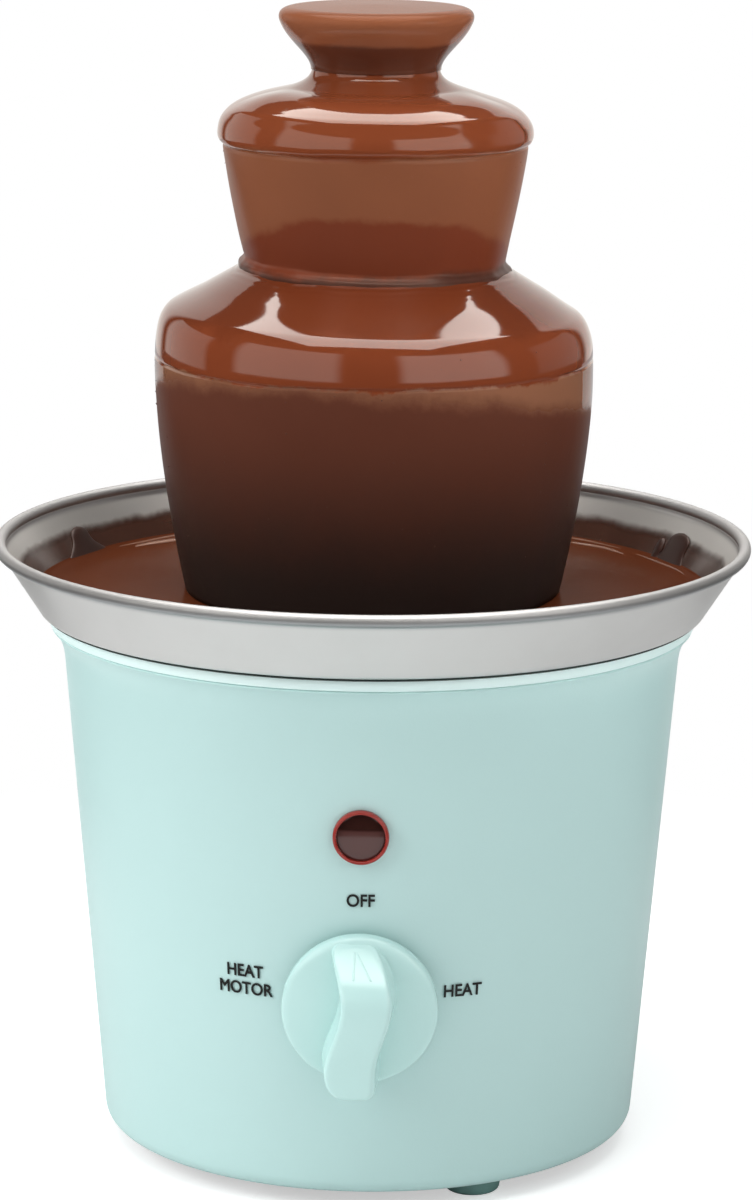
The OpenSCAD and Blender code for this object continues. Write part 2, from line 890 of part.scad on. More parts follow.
module auger_tube() {
    slot_w = 9;
    slot_h = 9;
    color("#d4d2cb")
        difference() {
            union() {
                translate([0, 0, tube_z])
                    cylinder(r = tube_r, h = tube_top - tube_z);
                translate([0, 0, tube_z])
                    cylinder(r = tube_foot_r, h = tube_foot_h);
                translate([0, 0, upper_rib_z])
                    cylinder(r = upper_hub_r, h = rib_h);
                translate([0, 0, lower_rib_z])
                    cylinder(r = lower_hub_r - 0.4, h = rib_h);
            }
            translate([0, 0, tube_z - 1])
                cylinder(r = tube_r - tube_wall, h = tube_top - tube_z + 2);
            for (a = [45, 135])
                rotate(a)
                    translate([-tube_foot_r - 1, -slot_w / 2, tube_z + tube_foot_h])
                        cube([2 * tube_foot_r + 2, slot_w, slot_h]);
        }
}

// Tiers: a straight slope off the hub that rolls over into the lip
lower_slope = 28;
upper_slope = 17;
function tier_curve(hub_r, lip_r, lip_z, run, rise, slope) =
    let (
        a = [lip_r - run, lip_z + rise],
        b = a + 0.55 * run * [1, -tan(slope)],
        c = [lip_r, lip_z + 0.48 * rise],
        top = a + (a.x - hub_r) * [-1, tan(slope)]
    )
    concat([top], bez(a, b, c, [lip_r, lip_z], 12));

lower_curve = tier_curve(lower_hub_r - 0.5, lower_lip_r, lower_lip_z, lower_run, lower_dome_h, lower_slope);
upper_curve = tier_curve(upper_hub_r - 0.5, upper_lip_r, upper_lip_z, upper_run, upper_dome_h, upper_slope);

module tier(curve, hub_in_r, hub_r, hub_z) {
    turned(concat(curve, reversed(shifted(curve, -tier_t))));
    ring(hub_in_r, hub_r, hub_z, curve[0].y - hub_z + 0.6);
}

module upper_tier() {
    color("#c2bfb8")
        tier(upper_curve, tube_r + slip_gap, upper_hub_r, upper_rib_z + rib_h);
}

module lower_tier() {
    color("#c2bfb8")
        tier(lower_curve, lower_hub_in_r, lower_hub_r, lower_rib_z + rib_h);
}

// Crown: a flared cup on the top of the tube
crown_z = upper_curve[0].y + 0.8;
crown_rim_z = floor_z + crown_rim_h;
crown_neck_z = crown_rim_z - 12;
crown_curve = bez([upper_hub_r, crown_neck_z], [upper_hub_r, crown_neck_z + 4],
    [crown_r - 1.5, crown_rim_z - 5.5], [crown_r, crown_rim_z]);

module crown_cup() {
    color("#c2bfb8")
        turned(concat(
            [[upper_hub_r, crown_z]],
            crown_curve,
            reversed(shifted(crown_curve, tier_t)),
            [[tube_r + slip_gap, crown_neck_z], [tube_r + slip_gap, crown_z]]
        ));
}

// Chocolate on the crown: skin outside, a mound that fills the cup's mouth
module crown_chocolate() {
    mound_h = 4.2;
    fill_z = auger_top + drop_gap;
    skin = concat([[upper_hub_r + film_t, crown_neck_z]],
        [for (i = [1 : len(crown_curve) - 1]) shifted(crown_curve, -film_t)[i]]);
    back = shifted(crown_curve, -film_gap);
    cup_wall = shifted(crown_curve, tier_t + film_gap);
    lining = [for (p = cup_wall) if (p.y > fill_z) p];
    fill_r = lookup(fill_z, [for (p = cup_wall) [p.y, p.x]]);
    edge = skin[len(skin) - 1];
    top_z = crown_rim_z + mound_h;
    color("#7a4026")
        turned(concat(
            skin,
            bez(edge, edge + [0.2, 2.2], [crown_r - 1, top_z - 0.4], [crown_r - 6, top_z - 0.3], 6),
            [[0, top_z], [0, fill_z], [fill_r, fill_z]],
            lining,
            [[crown_r - tier_t, crown_rim_z + film_gap + 0.3], [crown_r, crown_rim_z + film_gap + 0.3]],
            reversed(back)
        ));
}

// Chocolate on a tier: a film over the dome and a curtain that falls from its lip
curtain_t = 1.6;
function on_slope(curve, slope, r) = curve[0].y - (r - curve[0].x) * tan(slope) + film_gap / cos(slope);

module upper_chocolate() {
    neck_r = upper_hub_r + film_t;
    neck_z = crown_neck_z - film_gap;
    hub_r = upper_hub_r + film_gap;
    skin = shifted([for (i = [1 : len(upper_curve) - 1]) upper_curve[i]], film_t);
    start = skin[0];
    edge = skin[len(skin) - 1];
    top_r = edge.x - 1.2;
    foot_r_out = lower_lip_r - lower_run;
    foot_z = lower_film_z(foot_r_out);
    drop = edge.y - foot_z;
    fall = bez([top_r, edge.y - 2.2], [top_r - 0.8, edge.y - drop * 0.33],
        [foot_r_out + 2.2, edge.y - drop * 0.68], [foot_r_out, foot_z]);
    inside = [for (p = fall) [p.x - curtain_t, p.y]];
    foot_in = foot_r_out - curtain_t;
    color("#7a4026")
        turned(concat(
            bez([neck_r, neck_z], [neck_r, start.y + 1.7], start + [-3.2, 1], start, 6),
            skin,
            bez(edge, edge - [0, 1.1], [top_r + 0.2, edge.y - 1.5], fall[0], 3),
            fall,
            [[foot_in, lower_film_z(foot_in)]],
            reversed([for (i = [0 : len(inside) - 2]) inside[i]]),
            [[top_r - curtain_t, upper_lip_z - film_gap], [upper_lip_r + film_gap, upper_lip_z - film_gap]],
            reversed([for (i = [1 : len(upper_curve) - 1]) shifted(upper_curve, film_gap)[i]]),
            [[hub_r, on_slope(upper_curve, upper_slope, hub_r)], [hub_r, neck_z]]
        ));
}

// Height just above the film on the lower tier's straight slope
function lower_film_z(r) =
    lower_lip_z + lower_dome_h + (lower_lip_r - lower_run - r) * tan(lower_slope)
    + film_t / cos(lower_slope) + seat_gap;

module lower_chocolate() {
    foot_r_out = lower_lip_r - 6;
    foot_z = pool_z + seat_gap;
    hub_r = lower_hub_r + film_gap;
    skin = shifted(lower_curve, film_t);
    edge = skin[len(skin) - 1];
    span = edge.y - foot_z;
    fall = bez(edge, edge + [0.7, -0.22 * span], [edge.x - 2.1, foot_z + 0.36 * span], [foot_r_out, foot_z], 14);
    inside = [for (p = fall) if (p.y < lower_lip_z - 1) [p.x - curtain_t, p.y]];
    color("#5c2f1e")
        turned(concat(
            [[hub_r, lower_curve[0].y + film_t]],
            [for (i = [1 : len(skin) - 1]) skin[i]],
            [for (i = [1 : len(fall) - 1]) fall[i]],
            reversed(inside),
            [[lower_lip_r - curtain_t, lower_lip_z - film_gap], [lower_lip_r + film_gap, lower_lip_z - film_gap]],
            reversed([for (i = [1 : len(lower_curve) - 1]) shifted(lower_curve, film_gap)[i]]),
            [[hub_r, on_slope(lower_curve, lower_slope, hub_r)]]
        ));
}

// Switch behind the front wall, drawn in the wall's own frame
switch_neck_r = 4.5;
switch_shaft_r = 3;
switch_w = 22;
switch_d = 15;
switch_back = -housing_wall - 1.6 - switch_d;
knob_gap = 1.2;
knob_nut_h = 2;
knob_shaft_top = knob_gap + knob_rim_h + knob_dome_h;

module switch_body() {
    shoulder = 6.5;
    pin_w = 5;
    color("#33363a")
        on_wall(knob_h)
            difference() {
                union() {
                    translate([-switch_w / 2, -switch_w / 2, switch_back])
                        cube([switch_w, switch_w, switch_d]);
                    translate([0, 0, switch_back + switch_d - 1])
                        cylinder(r = shoulder, h = 2.2);
                    translate([0, 0, switch_back + switch_d - 1])
                        cylinder(r = switch_neck_r, h = -switch_back - switch_d + 1 + knob_nut_h + 0.4);
                    for (x = [-7, 0, 7])
                        translate([x - pin_w / 2, -0.4, switch_back - 6])
                            cube([pin_w, 0.8, 7]);
                }
                translate([0, 0, switch_back + 2])
                    cylinder(r = switch_shaft_r + run_gap, h = 2 * switch_d);
            }
}

module switch_shaft() {
    color("#c9cbcd")
        on_wall(knob_h)
            translate([0, 0, switch_back + 2 + rest_gap])
                cylinder(r = switch_shaft_r, h = knob_shaft_top - switch_back - 2 - rest_gap);
}

module switch_nut() {
    color("gainsboro")
        on_wall(knob_h)
            translate([0, 0, rest_gap])
                hex_nut(switch_neck_r + 3, knob_nut_h, switch_neck_r + run_gap);
}

// Grip: a bar with a slight S in plan, ramped up from the top of the disc
grip_sway = 1.9;
grip_over = 0.6;
grip_top_y = knob_r - 1;
grip_low_y = -knob_r - grip_over;
grip_z = knob_gap + knob_rim_h - 1;
grip_top = knob_gap + knob_rim_h + grip_h;
function grip_mid(y) = grip_sway * sin(360 * (y - grip_low_y) / (grip_top_y - grip_low_y) + 180);
function grip_half(y) = grip_w / 2 * (0.92 + 0.1 * pow(y / knob_r, 2));

module grip() {
    rows = 18;
    ys = [for (i = [0 : rows]) grip_low_y + (grip_top_y - grip_low_y) * i / rows];
    intersection() {
        translate([0, 0, grip_z])
            linear_extrude(grip_h + 2)
                polygon(concat(
                    [for (y = ys) [grip_mid(y) + grip_half(y), y]],
                    reversed([for (y = ys) [grip_mid(y) - grip_half(y), y]])
                ));
        rotate([90, 0, 90])
            linear_extrude(4 * grip_w, center = true)
                polygon(concat(
                    [[grip_low_y + 3.5, grip_z - 1]],
                    bez([grip_low_y + 0.6, grip_z + 4], [grip_low_y, grip_top - 4],
                        [grip_low_y + 0.4, grip_top], [grip_low_y + 5, grip_top], 6),
                    bez([knob_r * 0.3, grip_top], [knob_r * 0.5, grip_top],
                        [knob_r * 0.62, grip_top - 3], [grip_top_y, grip_z + 1], 6),
                    [[grip_top_y, grip_z - 1]]
                ));
    }
}

module knob() {
    rim_z = knob_gap + knob_rim_h;
    recess_r = switch_neck_r + 4.5;
    color("#c4e3df")
        on_wall(knob_h)
            difference() {
                union() {
                    turned(concat(
                        [[0, knob_gap], [knob_r - 0.8, knob_gap], [knob_r, knob_gap + 0.8]],
                        bez([knob_r, rim_z - 0.8], [knob_r - 0.2, rim_z + 0.2],
                            [knob_r - 1.6, rim_z + 0.2], [knob_r - 3, rim_z + 0.6], 5),
                        [[knob_r * 0.5, rim_z + knob_dome_h * 0.8], [0, rim_z + knob_dome_h]]
                    ));
                    grip();
                }
                translate([0, 0, knob_gap - 1])
                    cylinder(r = recess_r, h = knob_nut_h + 1.4);
                translate([0, 0, knob_gap - 1])
                    cylinder(r = switch_shaft_r + run_gap, h = knob_shaft_top - knob_gap + 1 + run_gap);
            }
}

// Indicator lamp in the wall above the knob
lamp_barrel_r = lamp_r - bezel_w - 0.5;
lamp_barrel_l = 9;
lens_r = lamp_r - bezel_w;

module lamp_bezel() {
    color("#b4463c")
        on_wall(lamp_h)
            difference() {
                union() {
                    turned([[0, 0.1], [lamp_r, 0.1], [lamp_r, 0.7], [lamp_r - 0.4, 1.5], [0, 1.5]]);
                    translate([0, 0, -lamp_barrel_l])
                        cylinder(r = lamp_barrel_r, h = lamp_barrel_l + 0.5);
                }
                translate([0, 0, 0.6])
                    cylinder(r = lens_r, h = 2);
                translate([0, 0, -lamp_barrel_l + 1])
                    cylinder(r = lamp_barrel_r - 1, h = lamp_barrel_l - 2);
            }
}

module lamp_lens() {
    color("#3e1914")
        on_wall(lamp_h)
            translate([0, 0, 0.6])
                cylinder(r = lens_r - run_gap, h = 0.7);
}

module lamp_nut() {
    lamp_nut_r = lamp_barrel_r + 3;
    lamp_nut_h = 1.2;
    nut_sag = pow(lamp_nut_r, 2) / (2 * wall_in_r(housing_z + lamp_h));
    color("#b9bcbd")
        on_wall(lamp_h)
            translate([0, 0, -housing_wall - nut_sag - rest_gap - lamp_nut_h])
                ring(lamp_barrel_r + run_gap, lamp_nut_r, 0, lamp_nut_h);
}

// Terminal block on the base plate and the gland for a mains lead at the back
module terminal_block() {
    block = [26, 12, 11];
    block_at = [-30, 18];
    ways = 3;
    color("#e6e3da")
        translate(concat(block_at, [plate_top]))
            difference() {
                translate([-block.x / 2, -block.y / 2, 0])
                    cube(block);
                for (k = [0 : ways - 1])
                    translate([(k - 1) * block.x / ways, 0, block.z - 5])
                        cylinder(r = 2.2, h = 6);
            }
}

gland_barrel_r = gland_bore_r + 2;
module cord_gland() {
    flange_r = gland_barrel_r + 2.2;
    color("#2b3433")
        on_rear(gland_h)
            difference() {
                union() {
                    turned([[0, 0.5], [flange_r, 0.5], [flange_r, 1.6], [flange_r - 1, 2.6], [0, 2.6]]);
                    translate([0, 0, -housing_wall - 6])
                        cylinder(r = gland_barrel_r, h = housing_wall + 7);
                }
                translate([0, 0, -housing_wall - 7])
                    cylinder(r = gland_bore_r, h = housing_wall + 12);
            }
}

module gland_nut() {
    color("#3b4443")
        on_rear(gland_h)
            translate([0, 0, -housing_wall - 4])
                hex_nut(gland_barrel_r + 3, 3, gland_barrel_r + run_gap);
}

housing_shell();
housing_band();
base_plate();
rubber_feet();
base_screws();
bowl();
bowl_gasket();
bowl_studs();
stud_nuts();
stud_spacers();
tower_seat();
seat_nut();
shaft_bush();
shaft_seal();
heater_ring();
heater_clamp();
thermostat();
thermal_fuse();
motor_plate();
gearbox_case();
gearbox_cover();
gearbox_screws();
idler_pin();
motor_can();
motor_end_cap();
stator();
rotor();
rotor_pinion();
idler_gear();
output_gear();
output_shaft();
drive_coupling();
auger();
auger_tube();
crown_cup();
upper_tier();
lower_tier();
crown_chocolate();
upper_chocolate();
lower_chocolate();
pool_chocolate();
switch_body();
switch_shaft();
switch_nut();
knob();
lamp_bezel();
lamp_lens();
lamp_nut();
terminal_block();
cord_gland();
gland_nut();
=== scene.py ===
import json
import math
import bmesh
import bpy
import numpy as np
from mathutils import Matrix, Vector


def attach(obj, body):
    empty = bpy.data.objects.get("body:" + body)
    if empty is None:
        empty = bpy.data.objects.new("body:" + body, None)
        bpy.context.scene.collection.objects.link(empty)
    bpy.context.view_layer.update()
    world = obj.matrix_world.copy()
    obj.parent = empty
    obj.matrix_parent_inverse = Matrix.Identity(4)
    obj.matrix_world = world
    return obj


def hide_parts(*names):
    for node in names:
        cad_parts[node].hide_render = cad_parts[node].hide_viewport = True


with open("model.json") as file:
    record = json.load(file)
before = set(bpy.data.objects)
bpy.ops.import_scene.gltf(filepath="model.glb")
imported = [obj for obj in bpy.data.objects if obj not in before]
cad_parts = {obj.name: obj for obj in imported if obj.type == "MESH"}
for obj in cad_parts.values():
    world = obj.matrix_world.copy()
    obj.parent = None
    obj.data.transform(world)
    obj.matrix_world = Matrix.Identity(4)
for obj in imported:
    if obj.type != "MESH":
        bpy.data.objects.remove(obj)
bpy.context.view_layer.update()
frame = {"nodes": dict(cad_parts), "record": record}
scene = bpy.context.scene
scene.view_settings.view_transform = "Standard"
mm = 0.001
print("frame loaded,", len(frame["nodes"]), "nodes")


# curves and grids, in millimetres until a mesh is made

def rise(x, low, high):  # 0 below low, 1 above high, t*t*(3-2t) between
    t = np.clip((np.asarray(x, float) - low) / (high - low), 0, 1)
    return t * t * (3 - 2 * t)


def bezier(a, b, c, d, count=24):  # four points weighted by the cubic powers of t and 1-t
    t = np.linspace(0, 1, count)[:, None]
    a, b, c, d = (np.array(p, float) for p in (a, b, c, d))
    return (1 - t) ** 3 * a + 3 * t * (1 - t) ** 2 * b + 3 * t * t * (1 - t) * c + t ** 3 * d


def arc(centre, radius, start, end, count=12):  # centre plus radius times (cos, sin)
    t = np.radians(np.linspace(start, end, count))
    return np.stack([centre[0] + radius * np.cos(t), centre[1] + radius * np.sin(t)], 1)


def straight(a, b, count=12):  # even steps from a to b
    t = np.linspace(0, 1, count)[:, None]
    return np.array(a, float) * (1 - t) + np.array(b, float) * t


def joined(*paths):  # the paths end to end, repeated points dropped
    path = np.vstack([np.asarray(p, float).reshape(-1, 2) for p in paths])
    step = np.linalg.norm(np.diff(path, axis=0), axis=1)
    return path[np.concatenate([[True], step > 1e-4])]


def moved(point, *steps):  # a row of points, each given as a step from the one point
    return [(point[0] + across, point[1] + up) for across, up in steps]


def shifted(path, distance):  # each point moved to the right of its direction
    way = np.gradient(path, axis=0)
    way /= np.linalg.norm(way, axis=1)[:, None]
    return path + distance * np.stack([way[:, 1], -way[:, 0]], 1)


def allRound(count):  # a row of even angles over one full turn
    return np.linspace(0, 2 * np.pi, count, endpoint=False)[None, :]


def around(r, angle, z):  # r cos a, r sin a, z
    return np.stack(np.broadcast_arrays(r * np.cos(angle), r * np.sin(angle), z), -1)


def swept(profile, turns=256, sway=None):  # (r, z) carried round the axis, then moved by the sway
    angle = allRound(turns)
    r = profile[:, 0][:, None] + 0 * angle
    z = profile[:, 1][:, None] + 0 * angle
    r, z = sway(r, z, angle) if sway else (r, z)
    return around(r, angle, z)


def waves(angle, counts, sizes, phases):  # a sum of sines round the axis
    parts = [s * np.sin(n * angle + p) for n, s, p in zip(counts, sizes, phases)]
    return np.sum(parts, axis=0)


def gridMesh(name, grid, closeRows=True, closeCols=True, caps=(False, False)):
    # quads between neighbours of a rows x cols grid of points; caps fill the first and last row
    rows, cols = grid.shape[:2]
    index = np.arange(rows * cols).reshape(rows, cols)
    index = np.vstack([index, index[:1]]) if closeRows else index
    index = np.hstack([index, index[:, :1]]) if closeCols else index
    quads = np.stack([index[:-1, :-1], index[:-1, 1:], index[1:, 1:], index[1:, :-1]], -1).reshape(-1, 4)
    points = grid.reshape(-1, 3) * mm
    corner = points[quads] - points.mean(0)
    inside = np.einsum("ij,ij->i", corner[:, 0], np.cross(corner[:, 1], corner[:, 2]))
    inside = inside + np.einsum("ij,ij->i", corner[:, 0], np.cross(corner[:, 2], corner[:, 3]))
    turn = inside.sum() < 0
    quads = quads[:, ::-1] if turn else quads
    across = np.arange(index.shape[1]) / (index.shape[1] - 1)
    along = np.arange(index.shape[0]) / (index.shape[0] - 1)
    uv = np.stack(np.broadcast_arrays(across, along[:, None]), -1)
    cornerUv = np.stack([uv[:-1, :-1], uv[:-1, 1:], uv[1:, 1:], uv[1:, :-1]], 2).reshape(-1, 4, 2)
    cornerUv = cornerUv[:, ::-1] if turn else cornerUv
    faces = quads.tolist()
    first, last = index[0, :cols], index[-1, :cols]
    faces += [(first if turn else first[::-1]).tolist()] if caps[0] else []
    faces += [(last[::-1] if turn else last).tolist()] if caps[1] else []
    mesh = bpy.data.meshes.new(name)
    mesh.from_pydata(points.tolist(), [], faces)
    layer = mesh.uv_layers.new(name="flow")
    flat = np.zeros((len(mesh.loops), 2), np.float32)
    flat[: quads.size] = cornerUv.reshape(-1, 2)
    layer.data.foreach_set("uv", flat.ravel())
    mesh.polygons.foreach_set("use_smooth", np.ones(len(mesh.polygons), bool))
    mesh.update()
    return mesh


def cappedMesh(name, grid, caps=(True, True)):  # rows that don't meet, with the first and last one filled
    return gridMesh(name, grid, closeRows=False, caps=caps)


def welded(mesh):  # points that coincide become one, so that a closing row has no slit
    work = bmesh.new()
    work.from_mesh(mesh)
    bmesh.ops.remove_doubles(work, verts=work.verts, dist=1e-6)
    work.to_mesh(mesh)
    work.free()
    return mesh


def meshPoints(mesh):  # every point of a mesh, one row each
    flat = np.zeros(len(mesh.vertices) * 3)
    mesh.vertices.foreach_get("co", flat)
    return flat.reshape(-1, 3)


def mergedMesh(name, meshes, smooth=True):  # several meshes as one, in the order given
    faces, start = [], 0
    for mesh in meshes:
        faces += [[i + start for i in p.vertices] for p in mesh.polygons]
        start += len(mesh.vertices)
    whole = bpy.data.meshes.new(name)
    whole.from_pydata(np.vstack([meshPoints(mesh) for mesh in meshes]).tolist(), [], faces)
    whole.polygons.foreach_set("use_smooth", np.full(len(faces), smooth))
    whole.update()
    return whole


finish = {}  # materials, by the slot they fill or by a name of their own


def paint(mesh, look):  # the mesh gets this one finish
    mesh.materials.clear()
    mesh.materials.append(finish[look])


def addPiece(name, mesh, body, slot, *nodes, look=None):  # painted as its slot, or with a look of its own
    piece = bpy.data.objects.new(name, mesh)
    scene.collection.objects.link(piece)
    paint(mesh, look or slot)
    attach(piece, body)
    if nodes:
        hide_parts(*nodes)


# camera, at the photograph's viewing angle

view = {
    "away": 1155.6,      # level distance from the axis, mm
    "height": 389.7,
    "side": 1.7,         # degrees towards +X
    "down": 12.2,
    "turn": -0.056,      # degrees off the axis
    "roll": 0.45,
    "lens": 93.02,
    "sensor": 24,
}


def turned(degrees, axis):  # a rotation about one axis
    return Matrix.Rotation(math.radians(degrees), 4, axis)


camera = bpy.data.objects.new("camera", bpy.data.cameras.new("camera"))
camera.data.sensor_fit = "VERTICAL"
camera.data.sensor_height = view["sensor"]
camera.data.lens = view["lens"]
stand = around(view["away"] * mm, math.radians(view["side"] - 90), view["height"] * mm)
aim = turned(view["side"] + view["turn"], "Z") @ turned(90 - view["down"], "X") @ turned(view["roll"], "Z")
camera.matrix_world = Matrix.Translation(stand) @ aim
scene.collection.objects.link(camera)
scene.camera = camera
print("camera placed")


# shader effects that several finishes share

white = (1.0, 1.0, 1.0, 1.0)


def screen(red, green, blue):  # 0 to 255 as seen on a screen, to linear light
    c = np.array([red, green, blue]) / 255
    lin = np.where(c <= 0.04045, c / 12.92, ((c + 0.055) / 1.055) ** 2.4)
    return (*lin.tolist(), 1.0)


def spaced(key):  # fineScale becomes Fine Scale, as sockets are labelled
    return "".join(" " + c if c.isupper() else c for c in key).title().replace("Ior", "IOR")


def put(tree, kind, values=(), **settings):  # one shader node, with its inputs and settings
    made = tree.nodes.new("ShaderNode" + kind)
    for key, value in settings.items():
        setattr(made, key, value)
    for key, value in dict(values).items():
        made.inputs[key].default_value = value
    return made


def wire(*links):  # each link is a node and its output, then a node and its input
    for source, out, target, into in links:
        source.id_data.links.new(source.outputs[out], target.inputs[into])


def feed(node, label, socket):  # one input of a node from a socket
    node.id_data.links.new(socket, node.inputs[label])


def startGroup(name, inputs, outputs):  # an effect with named number sockets
    tree = bpy.data.node_groups.new(name, "ShaderNodeTree")
    for label, value in inputs.items():
        socket = tree.interface.new_socket(name=label, in_out="INPUT", socket_type="NodeSocketFloat")
        socket.default_value = value
    for label in outputs:
        tree.interface.new_socket(name=label, in_out="OUTPUT", socket_type="NodeSocketFloat")
    return tree, tree.nodes.new("NodeGroupInput"), tree.nodes.new("NodeGroupOutput")


def makeUnevenness():  # fine grain and slow clouds, two noises on Object coordinates
    sizes = {"Fine Scale": 900, "Cloud Scale": 25}
    tree, given, result = startGroup("unevenness", sizes, ["Fine", "Cloud"])
    place = put(tree, "TexCoord")
    for label, detail in (("Fine", 3), ("Cloud", 4)):
        noise = put(tree, "TexNoise", {"Detail": detail, "Roughness": 0.55})
        wire((place, "Object", noise, "Vector"), (given, label + " Scale", noise, "Scale"),
             (noise, "Fac", result, label))
    return tree


def makeSpunLines():  # rings round the axis: noise of radius and height alone
    tree, given, result = startGroup("spunLines", {"Scale": 3000}, ["Lines"])
    place = put(tree, "TexCoord")
    split = put(tree, "SeparateXYZ")
    flat = put(tree, "CombineXYZ")
    size = put(tree, "VectorMath", operation="LENGTH")
    both = put(tree, "CombineXYZ")
    noise = put(tree, "TexNoise", {"Detail": 4, "Roughness": 0.7})
    wire((place, "Object", split, 0), (split, "X", flat, "X"), (split, "Y", flat, "Y"),
         (flat, 0, size, 0), (size, "Value", both, "X"), (split, "Z", both, "Z"),
         (both, 0, noise, "Vector"), (given, "Scale", noise, "Scale"), (noise, "Fac", result, "Lines"))
    return tree


def makeSpecks():  # small dots: the nearest of scattered points is closer than Size
    tree, given, result = startGroup("specks", {"Scale": 400, "Size": 0.12}, ["Mask"])
    place = put(tree, "TexCoord")
    cells = put(tree, "TexVoronoi")
    near = put(tree, "MapRange", {"To Min": 1, "To Max": 0, "From Min": 0.0})
    wire((place, "Object", cells, "Vector"), (given, "Scale", cells, "Scale"),
         (cells, "Distance", near, "Value"), (given, "Size", near, "From Max"),
         (near, "Result", result, "Mask"))
    return tree


def makeHeightFade():  # 0 at Low, 1 at High; a noise makes the edge ragged, and it may lean along Y and X
    inputs = {"Low": 0, "High": 0.1, "Ragged": 0.004, "Lean": 0, "Slant": 0}
    tree, given, result = startGroup("heightFade", inputs, ["Fade"])
    place = put(tree, "TexCoord")
    split = put(tree, "SeparateXYZ")
    noise = put(tree, "TexNoise", {"Scale": 60, "Detail": 5, "Roughness": 0.65})
    centre = put(tree, "Math", {1: 0.5}, operation="SUBTRACT")
    sway = put(tree, "Math", operation="MULTIPLY")
    leaning = put(tree, "Math", operation="MULTIPLY_ADD")
    slanting = put(tree, "Math", operation="MULTIPLY_ADD")
    total = put(tree, "Math", operation="ADD")
    fade = put(tree, "MapRange", interpolation_type="SMOOTHSTEP")
    wire((place, "Object", split, 0), (place, "Object", noise, "Vector"),
         (noise, "Fac", centre, 0), (centre, 0, sway, 0), (given, "Ragged", sway, 1),
         (split, "Y", leaning, 0), (given, "Lean", leaning, 1), (split, "Z", leaning, 2),
         (split, "X", slanting, 0), (given, "Slant", slanting, 1), (leaning, 0, slanting, 2),
         (slanting, 0, total, 0), (sway, 0, total, 1), (total, 0, fade, "Value"),
         (given, "Low", fade, "From Min"), (given, "High", fade, "From Max"),
         (fade, "Result", result, "Fade"))
    return tree


effects = {
    "unevenness": makeUnevenness(),
    "spunLines": makeSpunLines(),
    "specks": makeSpecks(),
    "heightFade": makeHeightFade(),
}


def effect(tree, name, **values):  # one of the shared effects, with its own values
    labelled = {spaced(key): value for key, value in values.items()}
    return put(tree, "Group", labelled, node_tree=effects[name])


def edgeFade(tree, edge, ragged=0.0):  # an edge is low and high, and may add how it leans along Y and X
    low, high, lean, slant = (*edge, 0.0, 0.0)[:4]
    made = effect(tree, "heightFade", low=low, high=high, ragged=ragged, lean=lean, slant=slant)
    return made.outputs["Fade"]


def startFinish(name, colour, roughness, metallic=0.0, **sockets):  # a Principled one, its sockets set
    material = bpy.data.materials.new(name)
    material.use_nodes = True
    material.diffuse_color = colour
    shader = material.node_tree.nodes["Principled BSDF"]
    sockets.update(baseColor=colour, roughness=roughness, metallic=metallic)
    for key, value in sockets.items():
        shader.inputs[spaced(key)].default_value = value
    return material, material.node_tree, shader


def mixColours(tree, mask, first, second):  # first where the mask is 0, second where it is 1
    mix = put(tree, "Mix", data_type="RGBA")
    for slot, value in ((6, first), (7, second)):
        if isinstance(value, tuple):
            mix.inputs[slot].default_value = value
        else:
            feed(mix, slot, value)
    feed(mix, 0, mask)
    return mix.outputs[2]


def spread(tree, mask, low, high):  # the mask's 0 to 1 stretched to low to high
    made = put(tree, "MapRange", {"To Min": low, "To Max": high})
    feed(made, "Value", mask)
    return made.outputs["Result"]


def addBump(tree, shader, height, strength, distance):  # fine relief in the shading
    bump = put(tree, "Bump", {"Strength": strength, "Distance": distance})
    feed(bump, "Height", height)
    wire((bump, "Normal", shader, "Normal"))


def mouldedFinish(name, pale, deep, rough, fineScale=1500.0, depth=0.00006, **sockets):
    # moulded plastic or rubber: slow colour clouds, a fine grain, and gloss that varies with the clouds
    pale, deep = screen(*pale), screen(*deep)
    material, tree, shader = startFinish(name, pale, sum(rough) / 2, **sockets)
    uneven = effect(tree, "unevenness", fineScale=fineScale, cloudScale=22.0)
    feed(shader, "Base Color", mixColours(tree, uneven.outputs["Cloud"], pale, deep))
    feed(shader, "Roughness", spread(tree, uneven.outputs["Cloud"], *rough))
    addBump(tree, shader, uneven.outputs["Fine"], strength=0.35, distance=depth)
    return material


def metalFinish(name, pale, deep, rough, lineScale=2600.0, depth=0.00002, dull=None):
    # turned or spun metal: fine rings in the gloss, slow stains in the colour, and a dull part above an edge
    pale, deep = (*pale, 1.0), (*deep, 1.0)
    material, tree, shader = startFinish(name, pale, sum(rough) / 2, metallic=1.0)
    lines = effect(tree, "spunLines", scale=lineScale)
    uneven = effect(tree, "unevenness", fineScale=700.0, cloudScale=18.0)
    body = mixColours(tree, uneven.outputs["Cloud"], pale, deep)
    matt = spread(tree, lines.outputs["Lines"], *rough)
    if dull:
        # darker and rougher metal above the edge
        dulledRim = edgeFade(tree, dull["edge"])
        most = put(tree, "Math", operation="MAXIMUM")
        feed(most, 0, matt)
        feed(most, 1, spread(tree, dulledRim, 0.0, dull["rough"]))
        matt = most.outputs[0]
        body = mixColours(tree, dulledRim, body, (*dull["tone"], 1.0))
    feed(shader, "Base Color", body)
    feed(shader, "Roughness", matt)
    addBump(tree, shader, lines.outputs["Lines"], strength=0.25, distance=depth)
    return material


melt = {"sheen": (1.0, 0.9, 0.78, 1.0), "streak": (0.8, 0.76, 0.74, 1.0), "prick": 0.6, "depth": 0.00012}


